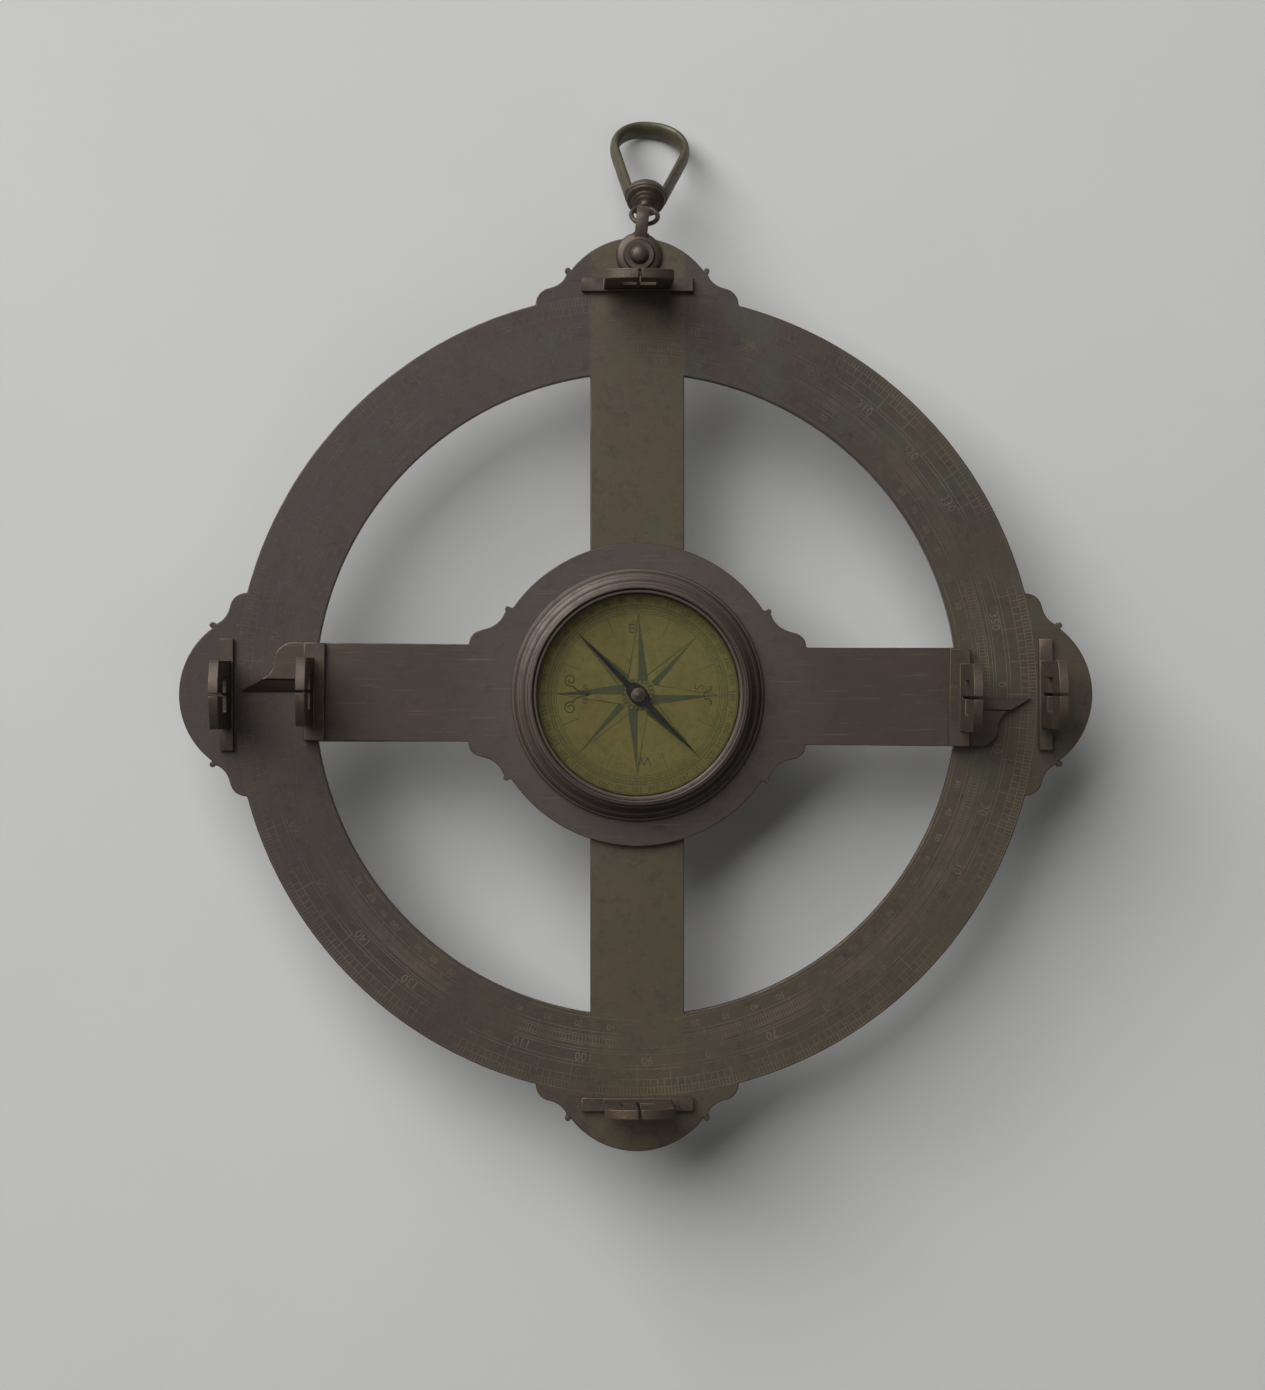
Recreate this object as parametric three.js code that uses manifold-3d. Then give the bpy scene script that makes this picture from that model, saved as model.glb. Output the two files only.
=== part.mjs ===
// A sighting circle: a graduated ring on a cross of spokes, four fixed sights, a rotating
// alidade with its own sights and compass, and a swivelling hand loop.
// Units are millimetres. The circle lies face up: +Z is out of the face, +Y runs to the hand
// loop, and the origin is the middle of the back boss, in the plane that the circle lies on.
import * as THREE from 'three';
import { mergeVertices } from 'three/addons/utils/BufferGeometryUtils.js';
import Module from 'manifold-3d';

const wasm = await Module();
wasm.setup();

// ---- driving dimensions ----

const GAP = 0.3; // clearance between neighbouring pieces

// the circle
const RING_OUTER = 150; // radius of the graduated ring
const RING_INNER = 120;
const PLATE_BACK = 40; // height of the plate's back above the table
const PLATE_THICK = 4.5;
const PLATE_FACE = PLATE_BACK + PLATE_THICK;
const PLATE_MIDDLE = (PLATE_BACK + PLATE_FACE) / 2;
const SPOKE_WIDTH = 35;
const HUB_RADIUS = 48;

// the lobes at the four cardinal points
const LOBE_CENTRE = 139.4; // distance of the lobe's arc centre from the middle
const LOBE_RADIUS = 31;
const KNOB_RADIUS = 1.1;
const KNOB_STAND = 0.9; // how far a lobe's knob is centred outside its arc
const KNOB_ANGLE = THREE.MathUtils.degToRad(54.3); // where it sits on the arc
const KNOB_FROM = THREE.MathUtils.degToRad(-145); // its own arc, from its outward direction
const KNOB_TO = THREE.MathUtils.degToRad(110);
const LOBE_ROOT = 37.9; // half width of a lobe where it runs into the ring

// the sights
const SIGHT_WIDTH = 25;
const VANE_THICK = 3.6;
const VANE_HEIGHT = 37; // from the foot's top to the crown of the arch
const VANE_SHOULDER = 33; // from the foot's top to where the arch springs
const WINDOW_WIDTH = 12.7;
const WINDOW_SILL = 12.5;
const WINDOW_HEAD = 23.5;
const SLIT_WIDTH = 1;
const SLIT_SILL = 3;
const FOOT_HEIGHT = 2.5;
const HAIR_RADIUS = 0.2;
const SIGHT_ROOT = 0.5; // how deep a vane is let into its foot
const LIMB_FOOT = { length: 41.7, width: 5.1, radius: 152.55, screwAcross: 16.5 };
const RULE_FOOT = { length: 36.3, width: 7.8, radius: 119.85, screwAcross: 14.95 };

// how each sight stands: its direction, and how far its vane leans outward and sits off the
// middle of its foot, because hand-made sights are never quite true
const LIMB_SIGHTS = {
  right: { turn: 0, lean: 1.3, offset: 0 },
  upper: { turn: 90, lean: -1, offset: 0 },
  left: { turn: 180, lean: 1.3, offset: 0 },
  lower: { turn: 270, lean: -1.8, offset: 0 },
};
const RULE_SIGHTS = {
  a: { turn: 0, lean: 0, offset: 1.95 },
  b: { turn: 180, lean: 0, offset: 1.95 },
};

// the alidade
const RULE_TURN = THREE.MathUtils.degToRad(-0.55); // it stands slightly off the cross line
const RULE_BACK = PLATE_FACE + GAP;
const RULE_THICK = 3;
const RULE_FACE = RULE_BACK + RULE_THICK;
const RULE_HALF_WIDTH = 18.15;
const RULE_DISC_RADIUS = 56.4;
const RULE_SHORT_END = 123.8; // where the cut-away half of each arm stops
const RULE_TIP = 147.5; // the index point, on the fiducial line
const BEVEL_START = 123.9;
const BEVEL_WIDTH = 4.4;
const BEVEL_DROP = 2.2;

// the pivot under the compass
const STUD_RADIUS = 9;
const STUD_HEAD_RADIUS = 15;
const STUD_HEAD_THICK = 2.2;
const STUD_END = 30.4; // height of the stud's lower end
const PIVOT_WASHER = { radius: 14, thick: 1.2 };
const PIVOT_NUT = { radius: 13.6, thick: 5 };

// the boss at the back, a turned foot that the circle lies on
const BOSS_RADIUS = 26;
const BOSS_WAIST = 19.6;
const BOSS_FLANGE_RADIUS = 36;
const BOSS_FLANGE_THICK = 3.4;
const BOSS_CAVITY_RADIUS = 18;
const BOSS_FLOOR = 27; // height of the cavity's floor, under the nut
const BOSS_SCREW_CIRCLE = 31;

// the compass
const BOX_RADIUS = 47; // at the foot of its moulding
const BOX_INNER_RADIUS = 37.6;
const BOX_HEIGHT = 14.2;
const BOX_BASE = RULE_FACE + GAP;
const BOX_TOP = BOX_BASE + BOX_HEIGHT;
const BOX_FLOOR = BOX_BASE + STUD_HEAD_THICK + 2 * GAP + 1.9; // upper side of its floor
const GLASS_SEAT = BOX_TOP - 3.2;
const GLASS_RADIUS = 38.4;
const GLASS_THICK = 1.5;
const DIAL_RADIUS = BOX_INNER_RADIUS - GAP;
const DIAL_THICK = 0.8;
const PIN_RADIUS = 1.2;
const NEEDLE_LENGTH = 66;
const NEEDLE_TURN = THREE.MathUtils.degToRad(-45); // from the +X axis
const COMPASS_SCREW_CIRCLE = 42;

// the suspension
const RIVET_PLACE = new THREE.Vector3(0.6, 163.6, PLATE_MIDDLE); // a little off the lobe's middle
const RIVET_RADIUS = 1.9;
const CHEEK_RADIUS = 8.5;
const SHACKLE_TURN = THREE.MathUtils.degToRad(-5.5); // it lies slightly to the right
const STRAP_WIDTH = 4.6;
const BOW_CENTRE = 13.2; // from the rivet to the middle of the bow
const BOW_OUTER = 5.9;
const BOW_INNER = 3.3;
const LOOP_LEAN = THREE.MathUtils.degToRad(-43.4); // the loop leans down to the table
const EYE_OFFSET = 3.6; // from the middle of the bow to the middle of the eye
const EYE_SIDE = 0.7; // the eye hangs to one side of the bow
const EYE_RADIUS = 4.95; // centre line of the eye's ring
const EYE_WIRE = 0.9;
const LOOP_BOSS = { start: 10, end: 12.8, radius: 7.6 }; // along the stem, from the eye's middle
const LOOP_CROWN = 53.1; // centre line of the loop's crown, from the eye's middle
const LOOP_SECTION = { across: 3.8, inPlane: 2 }; // half sizes of the loop's oval bar

// small screws: the head, the shank and the clearance around them
const SCREW = { head: 2.2, headThick: 1.4, shank: 1.1 };
const BOSS_SCREW = { head: 3.2, headThick: 2, shank: 1.6 };

// ---- materials ----

function metal(color, roughness) {
  return new THREE.MeshStandardMaterial({ color, roughness, metalness: 0.85 });
}

const bronze = metal(0x4d453e, 0.55);
const brownBrass = metal(0x6a5a40, 0.5);
const oldBrass = metal(0x80714d, 0.45);
const greenBrass = metal(0x5c5f4c, 0.6);
const steel = metal(0x2f3034, 0.4);
const glass = new THREE.MeshStandardMaterial({
  color: 0xdfe6e2, roughness: 0.05, metalness: 0, transparent: true, opacity: 0.3,
});

// ---- solids ----

function toSolid(geometry) {
  const bare = geometry.clone();
  bare.deleteAttribute('normal');
  bare.deleteAttribute('uv');
  const merged = mergeVertices(bare, 1e-4);
  const mesh = new wasm.Mesh({
    numProp: 3,
    vertProperties: new Float32Array(merged.attributes.position.array),
    triVerts: new Uint32Array(merged.index.array),
  });
  mesh.merge();
  return new wasm.Manifold(mesh);
}

function toGeometry(solid) {
  const mesh = solid.getMesh();
  const geometry = new THREE.BufferGeometry();
  geometry.setAttribute('position', new THREE.BufferAttribute(mesh.vertProperties, 3));
  geometry.setIndex(new THREE.BufferAttribute(mesh.triVerts, 1));
  geometry.computeVertexNormals();
  return geometry;
}

function join(...geometries) {
  return toGeometry(geometries.map(toSolid).reduce((sum, solid) => sum.add(solid)));
}

function cut(geometry, ...tools) {
  return toGeometry(tools.map(toSolid).reduce((rest, tool) => rest.subtract(tool), toSolid(geometry)));
}

// A round piece about +Z from [radius, height] points, listed from the lower end of the axis
// out and up to its upper end, or all the way round a closed ring section.
function turned(points, segments) {
  const profile = points.map(([radius, height]) => new THREE.Vector2(radius, height));
  return new THREE.LatheGeometry(profile, segments).rotateX(Math.PI / 2);
}

function rod(radius, low, high, segments) {
  return turned([[0, low], [radius, low], [radius, high], [0, high]], segments);
}

function ring(inner, outer, low, high, segments) {
  return turned([[inner, low], [outer, low], [outer, high], [inner, high], [inner, low]], segments);
}

function slab(shape, low, high, curveSegments = 12) {
  const settings = { depth: high - low, bevelEnabled: false, curveSegments };
  return new THREE.ExtrudeGeometry(shape, settings).translate(0, 0, low);
}

function roundHole(x, y, radius, sides) {
  const hole = new THREE.Path();
  for (let i = 0; i < sides; i += 1) {
    const angle = (2 * Math.PI * i) / sides;
    const px = x + radius * Math.cos(angle);
    const py = y + radius * Math.sin(angle);
    if (i === 0) hole.moveTo(px, py);
    else hole.lineTo(px, py);
  }
  hole.closePath();
  return hole;
}

// ---- the scene ----

const group = new THREE.Group();
const alidade = new THREE.Group();
alidade.rotation.z = RULE_TURN;
group.add(alidade);

function add(parent, name, geometry, material) {
  const mesh = new THREE.Mesh(geometry, material);
  mesh.name = name;
  parent.add(mesh);
  return mesh;
}

// ---- the limb plate ----

// Half a lobe, from its crown to the ring, with u outward and v across: a round crown, a
// small knob, then a hollow and a round that run into the ring.
function halfLobe() {
  const knobU = LOBE_CENTRE + (LOBE_RADIUS + KNOB_STAND) * Math.cos(KNOB_ANGLE);
  const knobV = (LOBE_RADIUS + KNOB_STAND) * Math.sin(KNOB_ANGLE);
  const path = new THREE.Path();
  path.absarc(LOBE_CENTRE, 0, LOBE_RADIUS, 0, KNOB_ANGLE - 0.03, false);
  path.absarc(knobU, knobV, KNOB_RADIUS, KNOB_ANGLE + KNOB_FROM, KNOB_ANGLE + KNOB_TO, false);
  path.quadraticCurveTo(152.9, 27.6, 151.6, 32.3);
  path.quadraticCurveTo(150.6, 37.6, Math.sqrt(RING_OUTER ** 2 - LOBE_ROOT ** 2), LOBE_ROOT);
  return path.getPoints(7);
}

function limbOutline() {
  const half = halfLobe();
  const mirrored = half.slice(1).reverse().map((p) => new THREE.Vector2(p.x, -p.y));
  const lobe = [...mirrored, ...half];
  const root = Math.atan2(half.at(-1).y, half.at(-1).x);
  const arcSteps = 12;
  const points = [];
  for (let quarter = 0; quarter < 4; quarter += 1) {
    const turn = (quarter * Math.PI) / 2;
    const centre = new THREE.Vector2(0, 0);
    points.push(...lobe.map((p) => p.clone().rotateAround(centre, turn)));
    for (let i = 1; i < arcSteps; i += 1) {
      const angle = turn + root + ((Math.PI / 2 - 2 * root) * i) / arcSteps;
      points.push(new THREE.Vector2(RING_OUTER * Math.cos(angle), RING_OUTER * Math.sin(angle)));
    }
  }
  return points;
}

function quadrantOpening(quarter) {
  const outer = Math.asin(SPOKE_WIDTH / 2 / RING_INNER);
  const inner = Math.asin(SPOKE_WIDTH / 2 / HUB_RADIUS);
  const turn = (quarter * Math.PI) / 2;
  const opening = new THREE.Path();
  opening.absarc(0, 0, RING_INNER, turn + outer, turn + Math.PI / 2 - outer, false);
  opening.absarc(0, 0, HUB_RADIUS, turn + Math.PI / 2 - inner, turn + inner, true);
  opening.closePath();
  return new THREE.Path(opening.getPoints(9));
}

function polar(radius, across, turn) {
  return new THREE.Vector2(radius, across).rotateAround(new THREE.Vector2(0, 0), turn);
}

// The places of the screws that hold a set of sights, two to a foot.
function footScrews(sights, foot) {
  return Object.values(sights).flatMap(({ turn }) => [-1, 1].map((side) =>
    polar(foot.radius, side * foot.screwAcross, THREE.MathUtils.degToRad(turn))));
}

const limbScrews = footScrews(LIMB_SIGHTS, LIMB_FOOT);
const bossScrews = [1, 3, 5, 7].map((eighth) => polar(BOSS_SCREW_CIRCLE, 0, (eighth * Math.PI) / 4));

function limbPlate() {
  const shape = new THREE.Shape(limbOutline());
  for (let quarter = 0; quarter < 4; quarter += 1) shape.holes.push(quadrantOpening(quarter));
  shape.holes.push(roundHole(0, 0, STUD_RADIUS + GAP, 24));
  shape.holes.push(roundHole(RIVET_PLACE.x, RIVET_PLACE.y, RIVET_RADIUS + GAP, 12));
  for (const p of limbScrews) shape.holes.push(roundHole(p.x, p.y, SCREW.shank + GAP, 8));
  for (const p of bossScrews) shape.holes.push(roundHole(p.x, p.y, BOSS_SCREW.shank + GAP, 8));
  return slab(shape, PLATE_BACK, PLATE_FACE);
}

add(group, 'limb_plate', limbPlate(), bronze);

// ---- sights ----

// The vane in its own plane, x across and y up from the foot's top: two leaves with a slit
// between them, a window cut from both, and a low arch over the top.
function vaneShape() {
  const half = SIGHT_WIDTH / 2;
  const slit = SLIT_WIDTH / 2;
  const rise = VANE_HEIGHT - VANE_SHOULDER;
  const archRadius = (half ** 2 + rise ** 2) / (2 * rise);
  const archCentre = VANE_HEIGHT - archRadius;
  const springs = Math.acos(half / archRadius);
  const opens = Math.acos(slit / archRadius);
  const shape = new THREE.Shape();
  shape.moveTo(-half, -SIGHT_ROOT);
  shape.lineTo(half, -SIGHT_ROOT);
  shape.absarc(0, archCentre, archRadius, springs, opens, false);
  shape.lineTo(slit, WINDOW_HEAD);
  shape.lineTo(WINDOW_WIDTH / 2, WINDOW_HEAD);
  shape.lineTo(WINDOW_WIDTH / 2, WINDOW_SILL);
  shape.lineTo(slit, WINDOW_SILL);
  shape.lineTo(slit, SLIT_SILL);
  shape.lineTo(-slit, SLIT_SILL);
  shape.lineTo(-slit, WINDOW_SILL);
  shape.lineTo(-WINDOW_WIDTH / 2, WINDOW_SILL);
  shape.lineTo(-WINDOW_WIDTH / 2, WINDOW_HEAD);
  shape.lineTo(-slit, WINDOW_HEAD);
  shape.absarc(0, archCentre, archRadius, Math.PI - opens, Math.PI - springs, false);
  return shape;
}

// A sight that stands at the origin, looking along X, with its foot's underside at height 0.
function sight(foot, stand) {
  const vane = slab(vaneShape(), -VANE_THICK / 2, VANE_THICK / 2, 5);
  vane.rotateX(Math.PI / 2).rotateZ(Math.PI / 2);
  const base = new THREE.BoxGeometry(foot.width, foot.length, FOOT_HEIGHT);
  base.translate(0, 0, FOOT_HEIGHT / 2);
  const holes = [-1, 1].map((side) =>
    rod(SCREW.shank + GAP, -1, 1.8, 8).translate(0, side * foot.screwAcross, 0));
  return cut(join(base, leaned(vane, stand)), ...holes);
}

// Leans what stands on a foot outward and sets it off the foot's middle.
function leaned(geometry, { lean, offset }) {
  return geometry.rotateY(THREE.MathUtils.degToRad(lean)).translate(offset, 0, FOOT_HEIGHT);
}

function hair(stand) {
  return leaned(rod(HAIR_RADIUS, WINDOW_SILL - 4, WINDOW_HEAD + 4, 6), stand);
}

function setUp(parent, prefix, sights, foot, height) {
  for (const [side, stand] of Object.entries(sights)) {
    const turn = THREE.MathUtils.degToRad(stand.turn);
    const place = polar(foot.radius, 0, turn);
    const pieces = [
      add(parent, `${prefix}sight_${side}`, sight(foot, stand), brownBrass),
      add(parent, `${prefix}hair_${side}`, hair(stand), steel),
    ];
    for (const mesh of pieces) {
      mesh.position.set(place.x, place.y, height);
      mesh.rotation.z = turn;
    }
  }
}

setUp(group, '', LIMB_SIGHTS, LIMB_FOOT, PLATE_FACE + GAP);
setUp(alidade, 'alidade_', RULE_SIGHTS, RULE_FOOT, RULE_FACE + GAP);

// ---- screws from below ----

// A round-headed screw that points up, with the underside of its head's seat at height 0.
function screw({ head, headThick, shank }, length) {
  const profile = [[0, -headThick], [head * 0.7, -headThick], [head, -headThick * 0.5], [head, -GAP],
    [shank, -GAP], [shank, length], [0, length]];
  return turned(profile, 10);
}

limbScrews.forEach((p, i) => {
  const mesh = add(group, `sight_screw_${i + 1}`, screw(SCREW, PLATE_THICK + GAP + 1.4), oldBrass);
  mesh.position.set(p.x, p.y, PLATE_BACK);
});

// ---- the back boss and its screws ----

const bossTop = PLATE_BACK - GAP;
const bossFlangeBack = bossTop - BOSS_FLANGE_THICK;

function backBoss() {
  const solid = turned([
    [0, 0], [BOSS_RADIUS - 2, 0], [BOSS_RADIUS, 1.2], [BOSS_RADIUS, 5], [BOSS_RADIUS - 1.6, 6.6],
    [BOSS_WAIST + 0.8, 11], [BOSS_WAIST, 17], [BOSS_WAIST + 1.4, 25], [BOSS_WAIST + 4.4, 32],
    [BOSS_RADIUS + 0.8, bossFlangeBack],
    [BOSS_FLANGE_RADIUS - 1, bossFlangeBack], [BOSS_FLANGE_RADIUS, bossFlangeBack + 1],
    [BOSS_FLANGE_RADIUS, bossTop], [BOSS_CAVITY_RADIUS, bossTop], [BOSS_CAVITY_RADIUS, BOSS_FLOOR],
    [0, BOSS_FLOOR],
  ], 32);
  const holes = bossScrews.map((p) =>
    rod(BOSS_SCREW.shank + GAP, bossFlangeBack - 1, bossTop + 1, 8).translate(p.x, p.y, 0));
  return cut(solid, ...holes);
}

add(group, 'back_boss', backBoss(), oldBrass);

bossScrews.forEach((p, i) => {
  const length = BOSS_FLANGE_THICK + GAP + PLATE_THICK - 1;
  const mesh = add(group, `boss_screw_${i + 1}`, screw(BOSS_SCREW, length), oldBrass);
  mesh.position.set(p.x, p.y, bossFlangeBack);
});

// ---- the alidade plate ----

// One ear between the disc and an arm, from the arm's edge to the knob, with u along the arm
// and v across it.
function ear() {
  const path = new THREE.Path();
  path.moveTo(62.8, RULE_HALF_WIDTH);
  path.quadraticCurveTo(62.6, 22.7, 57.6, 23.7);
  path.quadraticCurveTo(51.4, 25, 49.5, 30.2);
  path.absarc(48.5, 31.3, KNOB_RADIUS, -0.9, THREE.MathUtils.degToRad(150), false);
  return path.getPoints(7);
}

// The index end on the -Y side of the fiducial line, from the arm's edge to its tip.
function indexEnd() {
  const path = new THREE.Path();
  path.moveTo(129.2, -RULE_HALF_WIDTH);
  path.quadraticCurveTo(134.4, -16.2, 134.7, -12.4);
  path.quadraticCurveTo(134.8, -6.4, 139.2, -4.6);
  path.lineTo(RULE_TIP, 0);
  return path.getPoints(7);
}

function ruleOutline() {
  const arcSteps = 16;
  const earPoints = ear();
  const last = Math.atan2(earPoints.at(-1).y, earPoints.at(-1).x);
  const half = [...indexEnd(), new THREE.Vector2(RULE_SHORT_END, 0)];
  half.push(new THREE.Vector2(RULE_SHORT_END, RULE_HALF_WIDTH), ...earPoints);
  for (let i = 0; i <= arcSteps; i += 1) {
    const angle = last + 0.01 + ((Math.PI - 2 * last - 0.02) * i) / arcSteps;
    half.push(new THREE.Vector2(RULE_DISC_RADIUS * Math.cos(angle), RULE_DISC_RADIUS * Math.sin(angle)));
  }
  half.push(...earPoints.slice().reverse().map((p) => new THREE.Vector2(-p.x, p.y)));
  return [...half, ...half.map((p) => new THREE.Vector2(-p.x, -p.y))];
}

const ruleScrews = footScrews(RULE_SIGHTS, RULE_FOOT);
const compassScrews = [0, 1, 2].map((third) =>
  polar(COMPASS_SCREW_CIRCLE, 0, Math.PI / 2 + (third * 2 * Math.PI) / 3));
const sunkDepth = SCREW.headThick + 2 * GAP; // how deep a sunk head's recess is

function rulePlate() {
  const shape = new THREE.Shape(ruleOutline());
  shape.holes.push(roundHole(0, 0, STUD_RADIUS + GAP, 24));
  const plate = slab(shape, RULE_BACK, RULE_FACE);
  const wells = [...ruleScrews, ...compassScrews].flatMap((p) => [
    rod(SCREW.head + GAP, RULE_BACK - 1, RULE_BACK + sunkDepth, 10).translate(p.x, p.y, 0),
    rod(SCREW.shank + GAP, RULE_BACK, RULE_FACE + 1, 8).translate(p.x, p.y, 0),
  ]);
  return cut(plate, ...wells, bevelCutter(0), bevelCutter(Math.PI));
}

// What the bevel along one index edge takes away, seen along the arm as a triangle.
function bevelCutter(turn) {
  const shape = new THREE.Shape();
  shape.moveTo(-BEVEL_WIDTH, 0);
  shape.lineTo(0.5, -BEVEL_DROP * (1 + 0.5 / BEVEL_WIDTH));
  shape.lineTo(0.5, 1);
  shape.lineTo(-BEVEL_WIDTH, 1);
  const cutter = slab(shape, BEVEL_START, RULE_TIP + 2);
  cutter.applyMatrix4(new THREE.Matrix4().makeBasis(
    new THREE.Vector3(0, 1, 0), new THREE.Vector3(0, 0, 1), new THREE.Vector3(1, 0, 0)));
  return cutter.translate(0, 0, RULE_FACE).rotateZ(turn);
}

add(alidade, 'alidade_plate', rulePlate(), bronze);

ruleScrews.forEach((p, i) => {
  const mesh = add(alidade, `alidade_screw_${i + 1}`, screw(SCREW, 2), oldBrass);
  mesh.position.set(p.x, p.y, RULE_BACK + sunkDepth);
});
compassScrews.forEach((p, i) => {
  const mesh = add(alidade, `compass_screw_${i + 1}`, screw(SCREW, 2.6), oldBrass);
  mesh.position.set(p.x, p.y, RULE_BACK + sunkDepth);
});

// ---- the pivot ----

const studHeadBase = RULE_FACE + GAP;
const washerTop = PLATE_BACK - GAP;
const washerBase = washerTop - PIVOT_WASHER.thick;
const nutTop = washerBase - GAP;

add(alidade, 'pivot_stud', turned([
  [0, STUD_END], [STUD_RADIUS - 1, STUD_END], [STUD_RADIUS, STUD_END + 1], [STUD_RADIUS, studHeadBase],
  [STUD_HEAD_RADIUS, studHeadBase], [STUD_HEAD_RADIUS, studHeadBase + STUD_HEAD_THICK],
  [0, studHeadBase + STUD_HEAD_THICK],
], 24), steel);
const washerBore = STUD_RADIUS + GAP;
add(alidade, 'pivot_washer', ring(washerBore, PIVOT_WASHER.radius, washerBase, washerTop, 24), oldBrass);
const nutShape = new THREE.Shape();
for (let i = 0; i < 6; i += 1) {
  const corner = polar(PIVOT_NUT.radius, 0, (i * Math.PI) / 3);
  if (i === 0) nutShape.moveTo(corner.x, corner.y);
  else nutShape.lineTo(corner.x, corner.y);
}
nutShape.holes.push(roundHole(0, 0, STUD_RADIUS + GAP, 24));
add(alidade, 'pivot_nut', slab(nutShape, nutTop - PIVOT_NUT.thick, nutTop), oldBrass);

// ---- the compass ----

function compassBox() {
  const recess = STUD_HEAD_RADIUS + 1;
  const ceiling = studHeadBase + STUD_HEAD_THICK + GAP;
  const cupRadius = GLASS_RADIUS + GAP;
  const body = turned([
    [0, ceiling], [recess, ceiling], [recess, BOX_BASE], [BOX_RADIUS, BOX_BASE],
    [BOX_RADIUS, BOX_BASE + 1.4], [46.6, BOX_BASE + 3], [45.4, BOX_BASE + 4.3], [43.3, BOX_BASE + 4.9],
    [43.3, BOX_BASE + 6.2], [41.8, BOX_BASE + 6.8], [41.2, BOX_BASE + 8], [41.2, BOX_BASE + 11.2],
    [42, BOX_BASE + 12.1], [41.6, BOX_TOP - 0.5], [40.4, BOX_TOP], [cupRadius + 0.5, BOX_TOP],
    [cupRadius, BOX_TOP - 0.6], [cupRadius, GLASS_SEAT], [BOX_INNER_RADIUS, GLASS_SEAT],
    [BOX_INNER_RADIUS, BOX_FLOOR], [0, BOX_FLOOR],
  ], 48);
  const holes = compassScrews.map((p) =>
    rod(SCREW.shank + GAP, BOX_BASE - 1, BOX_BASE + 2.4, 8).translate(p.x, p.y, 0));
  return cut(body, ...holes);
}

add(alidade, 'compass_box', compassBox(), oldBrass);

const dialTop = BOX_FLOOR + GAP + DIAL_THICK;
const pinTip = dialTop + 3.4;
add(alidade, 'compass_dial', ring(PIN_RADIUS + GAP, DIAL_RADIUS, BOX_FLOOR + GAP, dialTop, 36), oldBrass);
add(alidade, 'needle_pin', turned([
  [0, BOX_FLOOR + GAP], [PIN_RADIUS, BOX_FLOOR + GAP], [PIN_RADIUS, dialTop + 0.8], [0.5, pinTip - 0.8],
  [0, pinTip],
], 12), steel);
const glassBase = GLASS_SEAT + GAP;
add(alidade, 'compass_glass', rod(GLASS_RADIUS, glassBase, glassBase + GLASS_THICK, 36), glass);
const bezelBase = glassBase + GLASS_THICK + GAP;
add(alidade, 'bezel_ring', ring(BOX_INNER_RADIUS - 0.2, GLASS_RADIUS, bezelBase, BOX_TOP - 0.1, 36), oldBrass);

// ---- the needle ----

const needle = new THREE.Group();
needle.rotation.z = NEEDLE_TURN;
alidade.add(needle);
const bladeBase = dialTop + 1.9;
const bladeThick = 0.5;

function needleBlade() {
  const shape = new THREE.Shape();
  const waist = 3.4; // half width of the middle, round the cap
  shape.moveTo(NEEDLE_LENGTH / 2, 0);
  shape.lineTo(5, 1.1);
  shape.quadraticCurveTo(waist, waist, 0, waist);
  shape.quadraticCurveTo(-waist, waist, -5, 1.1);
  shape.lineTo(-NEEDLE_LENGTH / 2, 0);
  shape.lineTo(-5, -1.1);
  shape.quadraticCurveTo(-waist, -waist, 0, -waist);
  shape.quadraticCurveTo(waist, -waist, 5, -1.1);
  shape.holes.push(roundHole(0, 0, 1.7, 12));
  return slab(shape, bladeBase, bladeBase + bladeThick, 4);
}

add(needle, 'needle_blade', needleBlade(), steel);
const capBase = bladeBase + bladeThick + GAP;
add(needle, 'needle_cap', turned([
  [0, pinTip + 0.3], [0.9, capBase], [2.6, capBase], [2.6, capBase + 0.8], [1.7, capBase + 1.3],
  [1.2, capBase + 2.1], [0, capBase + 2.3],
], 16), oldBrass);

// ---- the suspension ----

// Its pieces are made about the rivet, with z from the middle of the plate.
const suspension = new THREE.Group();
suspension.position.copy(RIVET_PLACE);
suspension.rotation.z = SHACKLE_TURN;
group.add(suspension);

const cheekInner = PLATE_THICK / 2 + GAP;
const cheekTop = BOW_OUTER + 0.1;
const rivetSeat = cheekTop + GAP;

add(group, 'suspension_rivet', turned([
  [0, -rivetSeat - 1.6], [2.2, -rivetSeat - 1.3], [3.2, -rivetSeat], [RIVET_RADIUS, -rivetSeat],
  [RIVET_RADIUS, rivetSeat], [3.45, rivetSeat], [3.2, rivetSeat + 1.1], [2.3, rivetSeat + 2],
  [1.1, rivetSeat + 2.5], [0, rivetSeat + 2.6],
], 18), bronze).position.copy(RIVET_PLACE);

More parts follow.
